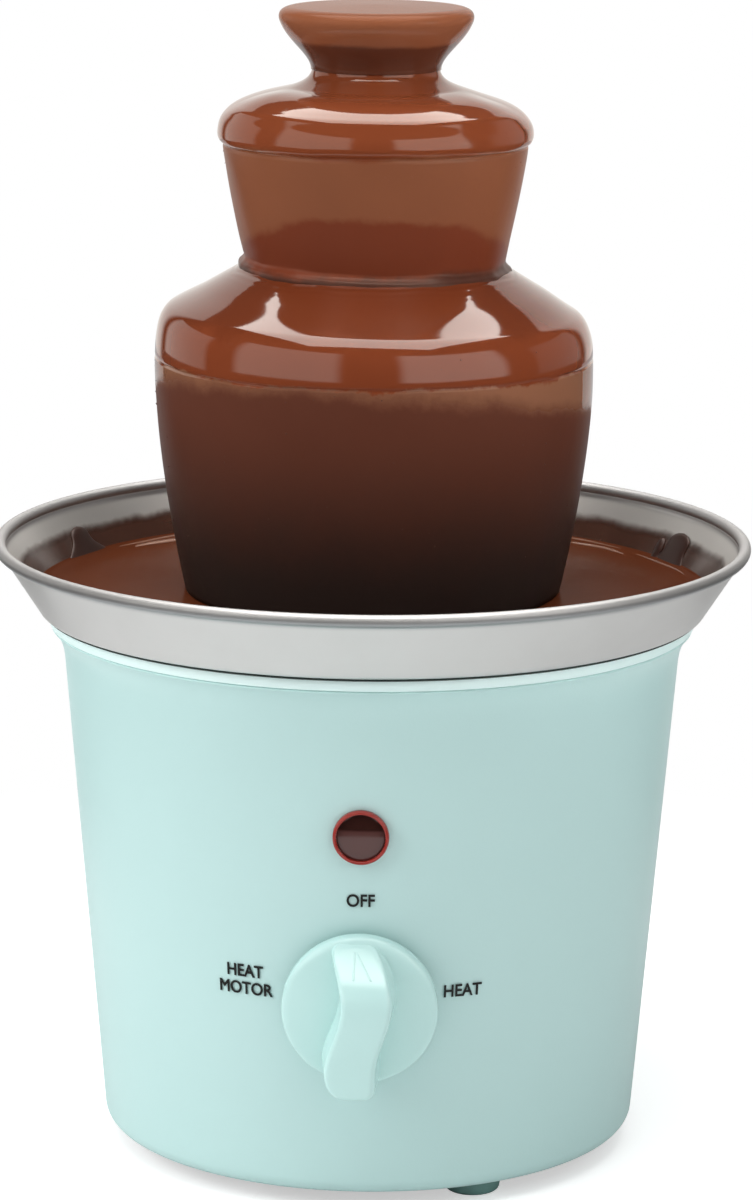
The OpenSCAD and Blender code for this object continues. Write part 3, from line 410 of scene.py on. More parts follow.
def chocolateFinish(name, tones, edges, gloss, rough, shine, ragged=0.01):
    # melted chocolate: tones from the foot up with a fade at each edge, slow streaks, pin-prick bubbles;
    # gloss and rough change at the edge called shine; some tones are painted shade and painted reflections
    tones = [screen(*tone) for tone in tones]
    material, tree, shader = startFinish(name, tones[-1], 0.1, specularTint=melt["sheen"],
                                         specularIorLevel=min(gloss), coatRoughness=min(rough))
    uneven = effect(tree, "unevenness", fineScale=240.0, cloudScale=30.0)
    specks = effect(tree, "specks", scale=260.0, size=0.1)
    body = tones[0]
    for edge, tone in zip(edges, tones[1:]):
        body = mixColours(tree, edgeFade(tree, edge, ragged), body, tone)
    streaked = put(tree, "Mix", {0: 1}, data_type="RGBA", blend_type="MULTIPLY")
    feed(streaked, 6, body)
    feed(streaked, 7, mixColours(tree, uneven.outputs["Cloud"], white, melt["streak"]))
    wire((streaked, 2, shader, "Base Color"))
    bright = edgeFade(tree, shine, ragged * (len(shine) > 2))
    feed(shader, "Roughness", spread(tree, bright, *rough))
    wet = [2 * (level - min(gloss)) for level in gloss]  # a full coat reflects as a specular level of 0.5
    if any(wet):
        feed(shader, "Coat Weight", spread(tree, bright, *wet))
    height = put(tree, "Math", {1: melt["prick"]}, operation="MULTIPLY_ADD")
    wire((specks, "Mask", height, 0), (uneven, "Fine", height, 2))
    addBump(tree, shader, height.outputs[0], strength=0.3, distance=melt["depth"])
    return material


print("shared effects made")


# finishes, named as their slots where they fill one

moulded = {  # pale and deep tones on a screen, roughness, then the grain's scale and depth
    "mint_plastic": [(187, 219, 217), (182, 214, 212), (0.34, 0.46)],
    # the band is a lighter trim, painted paler still as painted light against the shade under the bowl's
    # flank
    "mint_band": [(228, 250, 248), (222, 245, 243), (0.3, 0.42)],
    "mint_knob": [(192, 227, 224), (187, 222, 219), (0.19, 0.26)],
    "dark_plastic": [(48, 53, 54), (40, 45, 46), (0.4, 0.55)],
    "white_plastic": [(228, 226, 219), (220, 217, 208), (0.32, 0.45)],
    "foot_rubber": [(108, 150, 144), (98, 139, 134), (0.6, 0.75), 2400.0],
    "seal_rubber": [(40, 55, 51), (32, 46, 43), (0.55, 0.7), 2400.0],
    "ceramic_body": [(226, 220, 206), (214, 207, 192), (0.45, 0.6), 2000.0],
    "lamp_red": [(152, 46, 38), (140, 38, 31), (0.14, 0.22), 900.0, 0.00002],
    "lamp_dark": [(58, 20, 16), (48, 16, 13), (0.05, 0.1), 900.0, 0.00001],
    "black_ink": [(9, 11, 11), (6, 8, 8), (0.75, 0.85)],
    # the folds' pale tone is a painted highlight on the ripples near the tower
    "folds_painted_highlight": [(146, 98, 74), (130, 84, 60), (0.2, 0.3), 300.0],
}
dullRim = {"edge": (0.1522, 0.1539), "rough": 0.55, "tone": (0.4, 0.405, 0.415)}
metals = {  # pale and deep tones in linear light, roughness, then the rings' scale and depth
    "bowl_steel": [(0.72, 0.715, 0.705), (0.56, 0.555, 0.545), (0.34, 0.44), 1800.0, 0.000008, dullRim],
    "tier_steel": [(0.62, 0.61, 0.59), (0.55, 0.54, 0.52), (0.2, 0.32)],
    "zinc_steel": [(0.56, 0.57, 0.58), (0.46, 0.47, 0.48), (0.32, 0.48)],
    "heater_sheath": [(0.2, 0.18, 0.17), (0.12, 0.11, 0.1), (0.42, 0.6)],
    "copper_winding": [(0.66, 0.29, 0.14), (0.52, 0.2, 0.09), (0.25, 0.4)],
    "bronze": [(0.52, 0.36, 0.15), (0.42, 0.28, 0.11), (0.3, 0.45)],
}
chocolates = {  # edges are heights in metres
    "crown_chocolate": {
        # the darker first tone low on the cup is a painted reflection of the dome under it
        "tones": [(92, 52, 37), (134, 80, 54)], "edges": [(0.2812, 0.2826)],
        "gloss": (0.3, 0.06), "rough": (0.16, 0.24), "shine": (0.2855, 0.288), "ragged": 0.002},
    "upper_chocolate": {
        # the first tone is painted shade at the joint of the foot; the pale third tone with its leaning edge
        # is a painted reflection on the curtain
        "tones": [(72, 40, 30), (112, 51, 29), (129, 76, 50), (124, 62, 36)],
        "edges": [(0.2256, 0.2282), (0.2276, 0.23, 0.36), (0.2562, 0.2578)],
        "gloss": (0.22, 0.5), "rough": (0.34, 0.06), "shine": (0.2556, 0.257), "ragged": 0.006},
    "lower_chocolate": {
        # the first tone is painted shade, darkening the curtain towards its bottom; the pale third tone with
        # its leaning, slanting edge is a painted sheen below the lip on the right
        "tones": [(42, 34, 31), (91, 51, 38), (136, 92, 68), (120, 58, 33), (107, 50, 27)],
        "edges": [(0.148, 0.194), (0.189, 0.1956, 0.18, 0.06), (0.2026, 0.2036), (0.212, 0.217)],
        "gloss": (0.04, 0.5), "rough": (0.4, 0.06), "shine": (0.1905, 0.194, 0.18, 0.06)},
    "pool_chocolate": {
        "tones": [(100, 52, 31), (112, 60, 37)], "edges": [(0.14, 0.15)],
        "gloss": (0.003, 0.003), "rough": (0.2, 0.2), "shine": (0.14, 0.15)},
}
splashed = {"pale": (64, 40, 33), "deep": (54, 33, 27), "rough": (0.3, 0.42), "fineScale": 300.0}
smoked = {
    # lit and dark are painted light and painted shade on the lens: lighter below, darker at the top
    "tone": (78, 46, 43), "lit": (80, 50, 47), "dark": (46, 22, 18),
    "edge": (0.0992, 0.1), "ragged": 0.0003, "rough": 0.08,
}
coat = {
    "tone": (96, 50, 30), "deep": (70, 44, 35), "pale": (100, 66, 52), "edge": (0.1463, 0.1497),
    "ragged": 0.0035, "cover": 0.9, "rough": (0.1, 0.24),
}


def lensFinish(name):  # smoked red window, painted lighter below and painted darker at the top as shade under the ring
    material, tree, shader = startFinish(name, screen(*smoked["tone"]), smoked["rough"])
    fade = edgeFade(tree, smoked["edge"], smoked["ragged"])
    feed(shader, "Base Color", mixColours(tree, fade, screen(*smoked["lit"]), screen(*smoked["dark"])))
    return material


def filmFinish(name):  # brown coat that thins out upwards, so that the steel shows through
    material, tree, shader = startFinish(name, screen(*coat["tone"]), 0.16)
    fade = edgeFade(tree, coat["edge"], coat["ragged"])
    uneven = effect(tree, "unevenness", fineScale=260.0, cloudScale=70.0)
    cloud = uneven.outputs["Cloud"]
    feed(shader, "Base Color", mixColours(tree, cloud, screen(*coat["deep"]), screen(*coat["pale"])))
    feed(shader, "Alpha", spread(tree, fade, coat["cover"], 0.0))
    feed(shader, "Roughness", spread(tree, cloud, *coat["rough"]))
    addBump(tree, shader, uneven.outputs["Fine"], strength=0.3, distance=0.0001)
    return material


for look, values in moulded.items():
    finish[look] = mouldedFinish(look.replace("_", " "), *values)
for look, values in metals.items():
    finish[look] = metalFinish(look.replace("_", " "), *values)
for look, values in chocolates.items():
    finish[look] = chocolateFinish(look.replace("_", " "), **values)
finish["chocolate"] = finish["upper_chocolate"]
finish["splashed_chocolate"] = mouldedFinish("splashed chocolate", **splashed, specularIorLevel=0.2)
finish["smoked_lens"] = lensFinish("smoked lens")
finish["chocolate_film"] = filmFinish("chocolate film")

subparts = frame["record"]["subparts"]
for row in subparts:
    paint(frame["nodes"][row["node"]].data, row["material_slot"])
print("finishes made,", len(subparts), "nodes painted")


# housing: a tapered shell that flares to a thin top edge

housing = {
    "bottomR": 68.1, "neckR": 77.9, "foot": 4.4, "flareAt": 125.8, "top": 135.0,
    "flareOut": 3.5, "wall": 2.4, "edge": 4.2, "lip": 0.5,
    "flareLow": (0.4, 5.06), "flareHigh": (-1.4, -1.84),  # handles of the flare's curve
}
taper = (housing["neckR"] - housing["bottomR"]) / (housing["flareAt"] - housing["foot"])


def wallR(z):  # the cone's outer radius: bottom radius plus taper times height
    return housing["bottomR"] + (z - housing["foot"]) * taper


def makeHousing():  # corner arc, cone, flare curve and lip outside; the same less the wall inside
    h = housing
    wall, edge, lip = h["wall"], h["edge"], h["lip"]
    bend = (h["bottomR"] - edge, h["foot"] + edge)  # the corner's centre
    neck = (h["neckR"], h["flareAt"])
    top = (h["neckR"] + h["flareOut"], h["top"])
    corner = arc(bend, edge, -90, -4.6, 10)
    cone = straight(corner[-1], neck, 70)
    flare = bezier(neck, *moved(neck, h["flareLow"]), *moved(top, h["flareHigh"], (0, -lip)), 30)
    rim = arc((top[0] - lip, top[1] - lip), lip, 10, 90, 7)
    inside = joined(straight((top[0] - wall, top[1]), (neck[0] - wall, neck[1]), 14),
                    straight((neck[0] - wall, neck[1]), (h["bottomR"] - wall, bend[1]), 20),
                    arc(bend, edge - wall, 0, -90, 8))
    return gridMesh("housing_shell", swept(joined(corner, cone, flare, rim, inside), 320))


def onWall(local, height, rear=False):  # x along the wall, y up it, z straight out of it
    lean = math.atan(taper)
    x, y, z = local[..., 0], local[..., 1], local[..., 2]
    flip = -1 if rear else 1
    out = -wallR(height) - y * math.sin(lean) - z * math.cos(lean)
    return np.stack([flip * x, flip * out, height + y * math.cos(lean) - z * math.sin(lean)], -1)


gland = {
    "height": 23.0, "bore": 3.2, "barrel": 5.2, "flange": 7.4, "thick": 2.0, "deep": 9.4, "collar": 1.6,
    "slack": 0.1, "drill": (-9.0, 5.0), "seat": 0.05, "soft": 0.3,
}


def bored(mesh, drill):  # the mesh less the drill, by a boolean on two passing objects
    stock, tool = bpy.data.objects.new("stock", mesh), bpy.data.objects.new("tool", drill)
    for each in (stock, tool):
        scene.collection.objects.link(each)
    cut = stock.modifiers.new("hole", "BOOLEAN")
    cut.operation = "DIFFERENCE"
    cut.object = tool
    result = bpy.data.meshes.new_from_object(stock.evaluated_get(bpy.context.evaluated_depsgraph_get()))
    for each in (stock, tool):
        bpy.data.objects.remove(each)
    return result


def makeDrill():  # a plain rod through the rear wall
    rod = np.array([(gland["barrel"] + gland["slack"], end) for end in gland["drill"]])
    return cappedMesh("drill", onWall(swept(rod, 64), gland["height"], True))


def makeGland():  # barrel, rounded flange, and a soft collar round the bore
    bore, wide, flange, thick = (gland[key] for key in ("bore", "barrel", "flange", "thick"))
    deep, seat, soft = gland["deep"], gland["seat"], gland["soft"]
    top = thick + gland["collar"]
    barrel = [(bore, -deep), (wide, -deep), (wide, seat), (flange - soft, seat)]
    edge = bezier((flange, 0.4), (flange, thick - 0.5), (flange - soft, thick), (flange - 1.0, thick), 10)
    foot = bezier(*moved((wide, thick), (0.2, 0), (-0.2, 0), (-0.3, 0.2), (-0.4, 0.6)), 6)
    collar = bezier(foot[-1], (wide - 0.5, top), (bore + 0.1, top + soft), (bore, top - 0.9), 14)
    return gridMesh("gland", onWall(swept(joined(barrel, edge, foot, collar), 96), gland["height"], True))


addPiece("housing_tapered", bored(makeHousing(), makeDrill()), "base", "mint_plastic", "housing_shell")
addPiece("gland_collared", makeGland(), "base", "dark_plastic", "cord_gland")

band = {
    "r": 81.8, "low": 135.1, "top": 138.1, "under": 0.5, "over": 0.4,
    "inner": 73.6, "skirt": 128.5, "skirtR": 75.2,
}


def makeBand():  # a rounded ring with a skirt that hangs inside the housing
    b = band
    low = arc((b["r"] - b["under"], b["low"] + b["under"]), b["under"], -90, 0, 7)
    high = arc((b["r"] - b["over"], b["top"] - b["over"]), b["over"], 0, 90, 10)
    inside = [(b["inner"], b["top"]), (b["inner"], b["skirt"])]
    skirt = [(b["skirtR"], b["skirt"]), (b["skirtR"], b["low"])]
    return gridMesh("band", swept(joined(low, high, inside, skirt), 320))


addPiece("band_rounded", makeBand(), "base", "mint_band", "housing_band")

gasket = {
    "inner": 76.5, "outer": 83.5, "low": 137.95, "high": 138.5,
    "seat": 81.0, "round": 0.5, "lap": 0.05,
}


def makeGasket():  # a flat ring whose outer edge bulges as it is squeezed
    g = gasket
    mid, back = (g["low"] + g["high"]) / 2, g["outer"] - g["round"]
    edge = bezier((back, g["low"]), *moved((g["outer"], mid), (0, -0.1), (0, 0.1)), (back, g["high"]), 9)
    flat = band["top"]
    inside = [(g["inner"], g["high"]), (g["inner"], flat)]
    under = [(g["seat"], flat), (band["r"] + g["lap"], flat - g["lap"])]
    return gridMesh("gasket", swept(joined(edge, inside, under), 256))


addPiece("gasket_squeezed", makeGasket(), "base", "seal_rubber", "bowl_gasket")
print("housing, band and gasket made")

# bowl: spun sheet with a well, a shoulder, a leaning flank and a rolled rim

bowl = {
    "hole": 8.1, "under": 128.0, "sheet": 0.8, "wellR": 72.0, "corner": 3.0, "shoulder": 138.5,
    "shoulderR": 84.1, "flankLow": (84.5, 139.2), "flankHigh": (93.4, 153.0),
    "beadAt": (94.2, 155.1), "beadR": 1.5, "beadFrom": -48, "beadTo": 205,
}


def makeBowl():  # the underside from the hole out to the rim, round the bead, and back one sheet higher
    b = bowl
    w, s, z = b["wellR"], b["shoulderR"], b["shoulder"]
    under = joined(
        straight((b["hole"], b["under"]), (w - b["corner"], b["under"]), 40),
        arc((w - b["corner"], b["under"] + b["corner"]), b["corner"], -90, -10, 8),
        bezier(*moved((w, z), (0.9, -2), (1.2, -0.4), (1.6, 0), (3.2, 0)), 8),
        bezier(*moved((s, z), (-2.4, 0), (-0.6, 0), (-0.1, 0.1)), b["flankLow"], 8),
        straight(b["flankLow"], b["flankHigh"], 24))
    over = shifted(under, -b["sheet"])[::-1]
    bead = arc(b["beadAt"], b["beadR"], b["beadFrom"], b["beadTo"], 44)
    enter = bezier(under[-1], under[-1] + (0.5, 0.8), bead[0] + (-0.7, -0.5), bead[0], 8)
    leave = bezier(bead[-1], bead[-1] + (0.2, -0.6), over[0] + (0.1, 1.0), over[0], 8)
    return gridMesh("bowl", swept(joined(under, enter, bead, leave, over), 384))


addPiece("bowl_spun", makeBowl(), "base", "bowl_steel", "bowl")
print("bowl made")

# chocolate on the tower: a skin over the crown, and two domes that fall as curtains

skinThick = 1.5
crown = {
    "neck": (16.2, 274.7), "rim": (24.1, 286.8), "edge": [(23.6, 289.9), (20.5, 290.1)],
    "top": 290.6, "middle": 0.6,
}
upper = {
    "lip": (39.4, 259.0),
    "foot": (32.7, 226.8),
    "collar": [(15.8, 275.6), (15.9, 272.8), (17.6, 271.6), (21.5, 270.2)],
    "dome": [(21.5, 270.2), (26.0, 268.8), (31.0, 267.7), (34.2, 266.1), (35.6, 265.4), (36.6, 264.7),
             (37.5, 263.7), (38.6, 262.5), (39.3, 261.2)],
    "frontDome": [(21.5, 270.2), (28.0, 270.0), (31.8, 268.9), (35.9, 266.3), (36.9, 265.7), (37.3, 265.5),
                  (37.6, 264.8), (38.3, 262.9), (39.3, 261.3)],
    "roll": [(0, 0), (0.05, -1.2), (-0.4, -2.1), (-1.2, -2.3)],  # steps from the lip, as the groove's
    "groove": [(-1.5, -2.7), (-1.6, -3.0), (-1.4, -3.1), (-1.35, -3.6)],
    "curtain": [(37.6, 249.5), (35.2, 238.5)],
    "curl": [(0.1, 1.2), (-0.1, 0.4), (0.5, -0.2), (1.1, -0.7),  # steps from the foot
             (1.6, -1.1), (1.7, -1.6), (1.5, -2.8)],
    "hangs": (250, 257), "hangWaves": [(4, 7, 13), (0.12, 0.09, 0.05), (0.4, 2.1, 4.0)], "drift": 0.01,
    "wrinkles": (226.4, 228.6),
    "footWaves": [(5, 11, 23, 41), (0.16, 0.12, 0.05, 0.03), (0.4, 1.0, 0.2, 2.6)],
    "lipAt": 258, "lipWide": 2.2, "lipWaves": [(3, 8, 17), (0.16, 0.09, 0.05), (0.0, 1.3, 0.7)],
    "domeTilt": 0.4, "domeHigh": (259, 263), "domeWide": (20, 30), "footTilt": 0.8, "footHigh": (226, 234),
    "front": (0.1, 0.6),
}
lower = {
    "lip": (55.0, 203.6),
    "foot": (47.4, 143.3),
    "slope": [(18.0, 233.6), (33.0, 225.7), (51.0, 215.0)],
    "shoulder": [(53.2, 213.7), (54.9, 210.6)],
    "seam": [(-0.05, -0.35), (-0.35, -0.6), (-0.3, -0.9), (0.05, -1.2), (0.05, -1.3)],  # steps from the lip
    "curtain": [(55.4, 188.0), (52.6, 166.0)],
    "ringsFrom": 33.5, "ringSize": 0.16, "ringPitch": 3.4, "ringFade": 1.4,
    "ringWaves": [(9, 16), (0.7, 0.5), (0.3, 1.9)],
    "hangs": (190, 203), "hangWaves": [(5, 8, 14), (0.14, 0.1, 0.05), (2.2, 0.6, 3.4)], "drift": 0.006,
    "seamAt": 203, "seamWide": 1.2, "seamWaves": [(4, 11, 23), (0.14, 0.08, 0.05), (0.9, 2.0, 0.1)],
    "tilts": (0.3, 0.15, 0.6), "domeHigh": (204.5, 212),  # the whole dome, then more over each step outwards
    "inner": (33, 42), "outer": (42, 51),
}


def spans(points, *counts):  # cubic curves end to end, each beginning at the last point of the one before
    return joined(*(bezier(*points[3 * k:3 * k + 4], count) for k, count in enumerate(counts)))


def crownPath():  # neck, flaring cup side, rolled edge and nearly level top
    neck, rim = crown["neck"], crown["rim"]
    side = bezier(neck, *moved(neck, (0, 3.6)), *moved(rim, (-1.6, -5.0)), rim, 40)
    edge = bezier(rim, *moved(rim, (0.5, 1.9)), *crown["edge"], 26)
    level = straight(edge[-1], (crown["middle"], crown["top"]), 16)
    return joined(moved(neck, (-1.4, 0.3), (-0.5, -0.1)), side, edge, level)


def upperPath(front=False):  # fillet off the neck, dome, proud lip, groove, curtain and curled foot
    dome = upper["frontDome" if front else "dome"]
    groove = moved(upper["lip"], *upper["groove"])
    fall = [groove[-1], *upper["curtain"], *moved(upper["foot"], *upper["curl"])]
    return joined(spans(upper["collar"], 14), spans([*dome, upper["lip"]], 26, 20, 24),
                  spans(moved(upper["lip"], *upper["roll"]), 12), spans(groove, 6), spans(fall, 48, 10, 8))


def lowerPath():  # dome from under the upper curtain, seam at the lip, then the long curtain
    start, under, shoulder = lower["slope"]
    seam = moved(lower["lip"], *lower["seam"])
    return joined(straight(start, under, 8), straight(under, shoulder, 50),
                  bezier(shoulder, *lower["shoulder"], lower["lip"], 48), seam,
                  bezier(seam[-1], *lower["curtain"], lower["foot"], 56))


def skinned(path):  # the path and, going back, the same path moved inwards by the skin's thickness
    return joined(path, shifted(path, skinThick)[::-1])


def bell(z, middle, wide):  # 1 at the middle, falling away as a bell curve
    return np.exp(-((z - middle) / wide) ** 2)


def upperSway(r, z, a):  # sharper shoulder in front; the dome leans to the right; the foot is wrinkled
    u = upper
    front = rise(-np.sin(a), *u["front"])
    other = skinned(upperPath(True))
    r = r + front * (other[:, 0][:, None] - r)
    z = z + front * (other[:, 1][:, None] - z)
    hang = 1 - rise(z, *u["hangs"])
    foot = 1 - rise(z, *u["wrinkles"])
    lip = bell(z, u["lipAt"], u["lipWide"])
    tilt = u["domeTilt"] * rise(z, *u["domeHigh"]) * rise(r, *u["domeWide"])
    tilt = tilt + u["footTilt"] * (1 - rise(z, *u["footHigh"]))
    r = r + hang * waves(a + u["drift"] * z, *u["hangWaves"])
    r = r + foot * waves(a, *u["footWaves"])
    return r, z - tilt * np.cos(a) + lip * waves(a, *u["lipWaves"])


def lowerSway(r, z, a):  # rings run out from the upper curtain's foot, the dome leans, the curtain drifts
    w = lower
    near = np.clip(r - w["ringsFrom"], 0, None) * (z > w["slope"][-1][1])
    ring = w["ringSize"] * np.sin(near * w["ringPitch"] + waves(a, *w["ringWaves"]))
    ring = ring * np.exp(-near / w["ringFade"]) * (near > 0)
    hang = 1 - rise(z, *w["hangs"])
    whole, inner, outer = w["tilts"]
    tilt = whole + inner * rise(r, *w["inner"]) + outer * rise(r, *w["outer"])
    tilt = rise(z, *w["domeHigh"]) * tilt
    seam = bell(z, w["seamAt"], w["seamWide"])
    r = r + hang * waves(a + w["drift"] * z, *w["hangWaves"])
    z = z - tilt * np.cos(a) + ring
    return r, z + seam * waves(a, *w["seamWaves"])


crownSkin = cappedMesh("crown", swept(crownPath(), 256))
upperSkin = gridMesh("upper", swept(skinned(upperPath()), 288, upperSway))
lowerSkin = gridMesh("lower", swept(skinned(lowerPath()), 288, lowerSway))
addPiece("crown_skin", crownSkin, "tower", "chocolate", "crown_chocolate", look="crown_chocolate")
addPiece("upper_fall", upperSkin, "tower", "chocolate", "upper_chocolate", look="upper_chocolate")
addPiece("lower_fall", lowerSkin, "tower", "chocolate", "lower_chocolate", look="lower_chocolate")

bubbles = {
    "small": 0.1, "large": 0.22, "sunk": 0.5, "upward": 1.6, "rare": 3, "seed": 7,
    "fields": [(lowerPath, 150, 158, 202.5), (upperPath, 70, 233, 255), (lowerPath, 24, 205, 210)],
}


def makeBubbles():  # balls that stand half out of the flow, at seeded places
    b = bubbles
    rng = np.random.default_rng(b["seed"])
    phi = np.radians(np.linspace(-86, 86, 7))[:, None]
    ball = around(np.cos(phi), allRound(8), np.sin(phi))
    meshes = []
    for path, count, low, high in b["fields"]:
        line = path()
        line = line[np.argsort(line[:, 1])]
        for k in range(count):
            z = high - (high - low) * rng.random() ** b["upward"]
            a = rng.random() * 2 * np.pi
            size = b["small"] + (b["large"] - b["small"]) * rng.random() ** b["rare"]
            r = np.interp(z, line[:, 1], line[:, 0]) - b["sunk"] * size
            meshes.append(cappedMesh("bubble", ball * size + around(r, a, z)))
    return mergedMesh("bubbles", meshes)


addPiece("flow_bubbles", makeBubbles(), "tower", "chocolate")
print("chocolate on the tower made")

# pool in the bowl, and the film that the chocolate leaves on its wall

pool = {
    "level": 143.0, "hole": 19.9, "clear": 0.1, "meniscus": 0.7, "reach": 0.7, "still": 1.5,
    "skim": 0.05, "inset": 0.6,
    "swells": [  # height, pitch along the radius, and the waves that bend them
        (0.035, 0.3, [(2, 3, 5), (0.9, 0.6, 0.4), (0.2, 1.1, 2.3)]),
        (0.012, 0.8, [(4, 7), (1.2, 0.9), (2.0, 0.4)]),
    ],
}
film = {
    "low": 141.5, "high": 151.6, "thick": 0.3, "gap": 0.02, "least": 0.03,
    "edge": [(3, 7, 13, 29, 47), (0.45, 0.3, 0.2, 0.14, 0.08), (0.2, 1.4, 0.9, 2.0, 0.6)],
}
flankLean = (bowl["flankHigh"][0] - bowl["flankLow"][0]) / (bowl["flankHigh"][1] - bowl["flankLow"][1])


def innerWallR(z):  # the flank's inner face: its outer line less the sheet, measured level
    low = bowl["flankLow"]
    return low[0] + (z - low[1]) * flankLean - bowl["sheet"] * math.hypot(1, flankLean)


def poolSway(r, z, a):  # slow ripples that stop short of the wall
    top = (z > pool["level"] - pool["skim"]) & (r < innerWallR(pool["level"]) - pool["still"])
    swell = sum(size * np.sin(r * pitch + waves(a, *bends)) for size, pitch, bends in pool["swells"])
    return r, z + top * swell


def makePool():  # the bowl's inside up to the level, then the surface with a meniscus at the wall
    b, c, hole, level = bowl, pool["clear"], pool["hole"], pool["level"]
    floor = b["under"] + b["sheet"] + c
    w, s, z = b["wellR"], b["shoulderR"], b["shoulder"] + b["sheet"] + c
    corner = (w - b["corner"], floor + b["corner"])
    reach = z + pool["reach"]
    bed = joined(straight((hole, floor), (corner[0], floor), 20),
                 arc(corner, b["corner"] - pool["inset"], -90, -10, 6),
                 bezier(*moved((w, z), (0.2, -2), (0.5, -0.4), (1.2, 0), (3, 0)), 6),
                 bezier(*moved((s, z), (-3, 0), (-1.2, 0), (-0.9, 0.2)), (innerWallR(reach) - c, reach), 6))
    edge = innerWallR(level + pool["meniscus"]) - c
    climb = bezier(*moved((edge, level), (0, pool["meniscus"]), (-0.4, 0.1), (-1.2, 0), (-2.2, 0)), 10)
    surface = straight(climb[-1], (hole, level), 120)
    return gridMesh("pool", swept(joined(bed, climb, surface), 320, poolSway))


def makeFilm():  # a thin coat on the wall whose top edge rises and falls round the bowl
    a = allRound(512)
    v = np.linspace(0, 1, 24)[:, None]
    high = film["high"] + waves(a, *film["edge"])
    z = film["low"] + (high - film["low"]) * v
    back = innerWallR(z) - film["gap"]
    face = back - film["thick"] * (1 - v) ** 0.5 - film["least"]
    return gridMesh("film", around(np.vstack([back, face[::-1]]), a, np.vstack([z, z[::-1]])))


splashes = [
    {"turn": 153.0, "high": 149.4, "top": 3.6, "base": 10.5, "slant": -1.5},
    {"turn": 26.4, "high": 150.0, "top": 4.8, "base": 7.5, "slant": 0.8},
    {"turn": 31.4, "high": 147.6, "top": 1.4, "base": 2.2, "slant": 0.5},
]
splash = {
    "sunk": 0.6, "narrows": 2.4, "rounds": 0.72, "wobble": 0.3, "waves": 9, "phase": 1.3,
    "thick": 0.8, "least": 0.12, "back": 0.06, "off": 0.3,  # measured from the steel
}


def makeSplash(hump, phase):  # half-round slices up the wall: wide at the pool, narrow and rounded above
    v = np.linspace(0, 1, 28)[:, None]
    theta = allRound(36)
    low = pool["level"] - splash["sunk"]
    half = hump["top"] + (hump["base"] - hump["top"]) * (1 - v) ** splash["narrows"]
    half = half * np.sqrt(1 - np.clip((v - splash["rounds"]) / (1 - splash["rounds"]), 0, 0.999) ** 2)
    edge = splash["wobble"] * np.sin(splash["waves"] * v + phase) * np.sign(np.cos(theta)) * (1 - v)
    across = half * np.cos(theta) + edge + hump["slant"] * v
    z = low + (hump["high"] - low) * v
    bulge = np.clip(np.sin(theta), 0, 1) * np.sqrt(np.clip(half / hump["top"], 0, 1))
    lift = np.where(np.sin(theta) < 0, splash["back"], splash["least"] + splash["thick"] * bulge)
    a = np.radians(hump["turn"]) + across / innerWallR(hump["high"])
    return cappedMesh("splash", around(innerWallR(z) - splash["off"] - lift, a, z))


folds = [
    {"r": 83.4, "from": 124.0, "to": 145.0, "half": 0.6, "wave": 0.4},
    {"r": 80.0, "from": 126.0, "to": 143.0, "half": 1.7, "wave": 0.5},
    {"r": 84.2, "from": 40.0, "to": 58.0, "half": 0.45, "wave": 0.2},
    {"r": 80.6, "from": 36.0, "to": 52.0, "half": 0.9, "wave": 0.5},
    {"r": 82.6, "from": 15.0, "to": 35.0, "half": 0.4, "wave": 0.3},
]
ridge = {"high": 0.3, "waves": 7, "phase": 1.7}


def makeFold(fold, phase):  # a low ridge along an arc of the pool, wide in the middle, pointed at both ends
    t = np.linspace(0.01, 0.99, 60)[:, None]
    theta = allRound(16)
    wide = np.sqrt(np.sin(np.pi * t))
    a = np.radians(fold["from"] + (fold["to"] - fold["from"]) * t)
    r = fold["r"] + fold["wave"] * np.sin(ridge["waves"] * t + phase) + fold["half"] * wide * np.cos(theta)
    return cappedMesh("fold", around(r, a, pool["level"] + ridge["high"] * wide * np.sin(theta)))


mounds = [makeSplash(hump, splash["phase"] * k) for k, hump in enumerate(splashes)]
ridges = [makeFold(fold, ridge["phase"] * k) for k, fold in enumerate(folds)]
addPiece("pool_melted", makePool(), "base", "chocolate", "pool_chocolate", look="pool_chocolate")
addPiece("pool_film", makeFilm(), "base", "chocolate", look="chocolate_film")
addPiece("wall_splashes", mergedMesh("splashes", mounds), "base", "chocolate", look="splashed_chocolate")
# the pool's folds are painted pale as painted highlights
addPiece("pool_folds", mergedMesh("folds", ridges), "base", "chocolate", look="folds_painted_highlight")
print("pool and film made")

# knob, lamp and lettering stand on the sloping front wall

knob = {
    "height": 55.0, "gap": 1.2, "r": 19.0, "rim": 4.8, "dome": 7.0, "recess": 9.0, "recessTop": 3.7,
    "edge": 0.8, "middle": 0.5,
}
grip = {
    "top": 18.2, "low": -18.8, "half": 7.1, "base": 3.6, "high": 17.6, "square": 4.4,
    "sway": 2.0, "crest": 5.0, "wave": 34.0, "bend": 9.0, "soft": 0.16, "ramp": 0.93,
    "flare": 1.13, "draft": 0.2, "edge": 0.13, "flat": 0.72, "waist": 0.92, "crown": 0.25,
    "hollow": 0.6, "shoulder": 0.9, "shrink": 0.025, "nose": 0.04, "flatLong": 0.93,
    "ends": 0.12, "least": 0.02,
}


def gripMid(y):  # the centreline's slow S
    return grip["sway"] * np.cos(2 * np.pi * (y - grip["crest"]) / grip["wave"])


def gripHigh(y):  # level top, then a ramp down to the disc's edge, the bend softened
    t = (y - grip["bend"]) / (grip["top"] - grip["bend"])
    down = 0.5 * (t + np.sqrt(t * t + grip["soft"]))
    return grip["base"] + (grip["high"] - grip["base"]) * np.clip(1 - grip["ramp"] * down, grip["least"], 1)


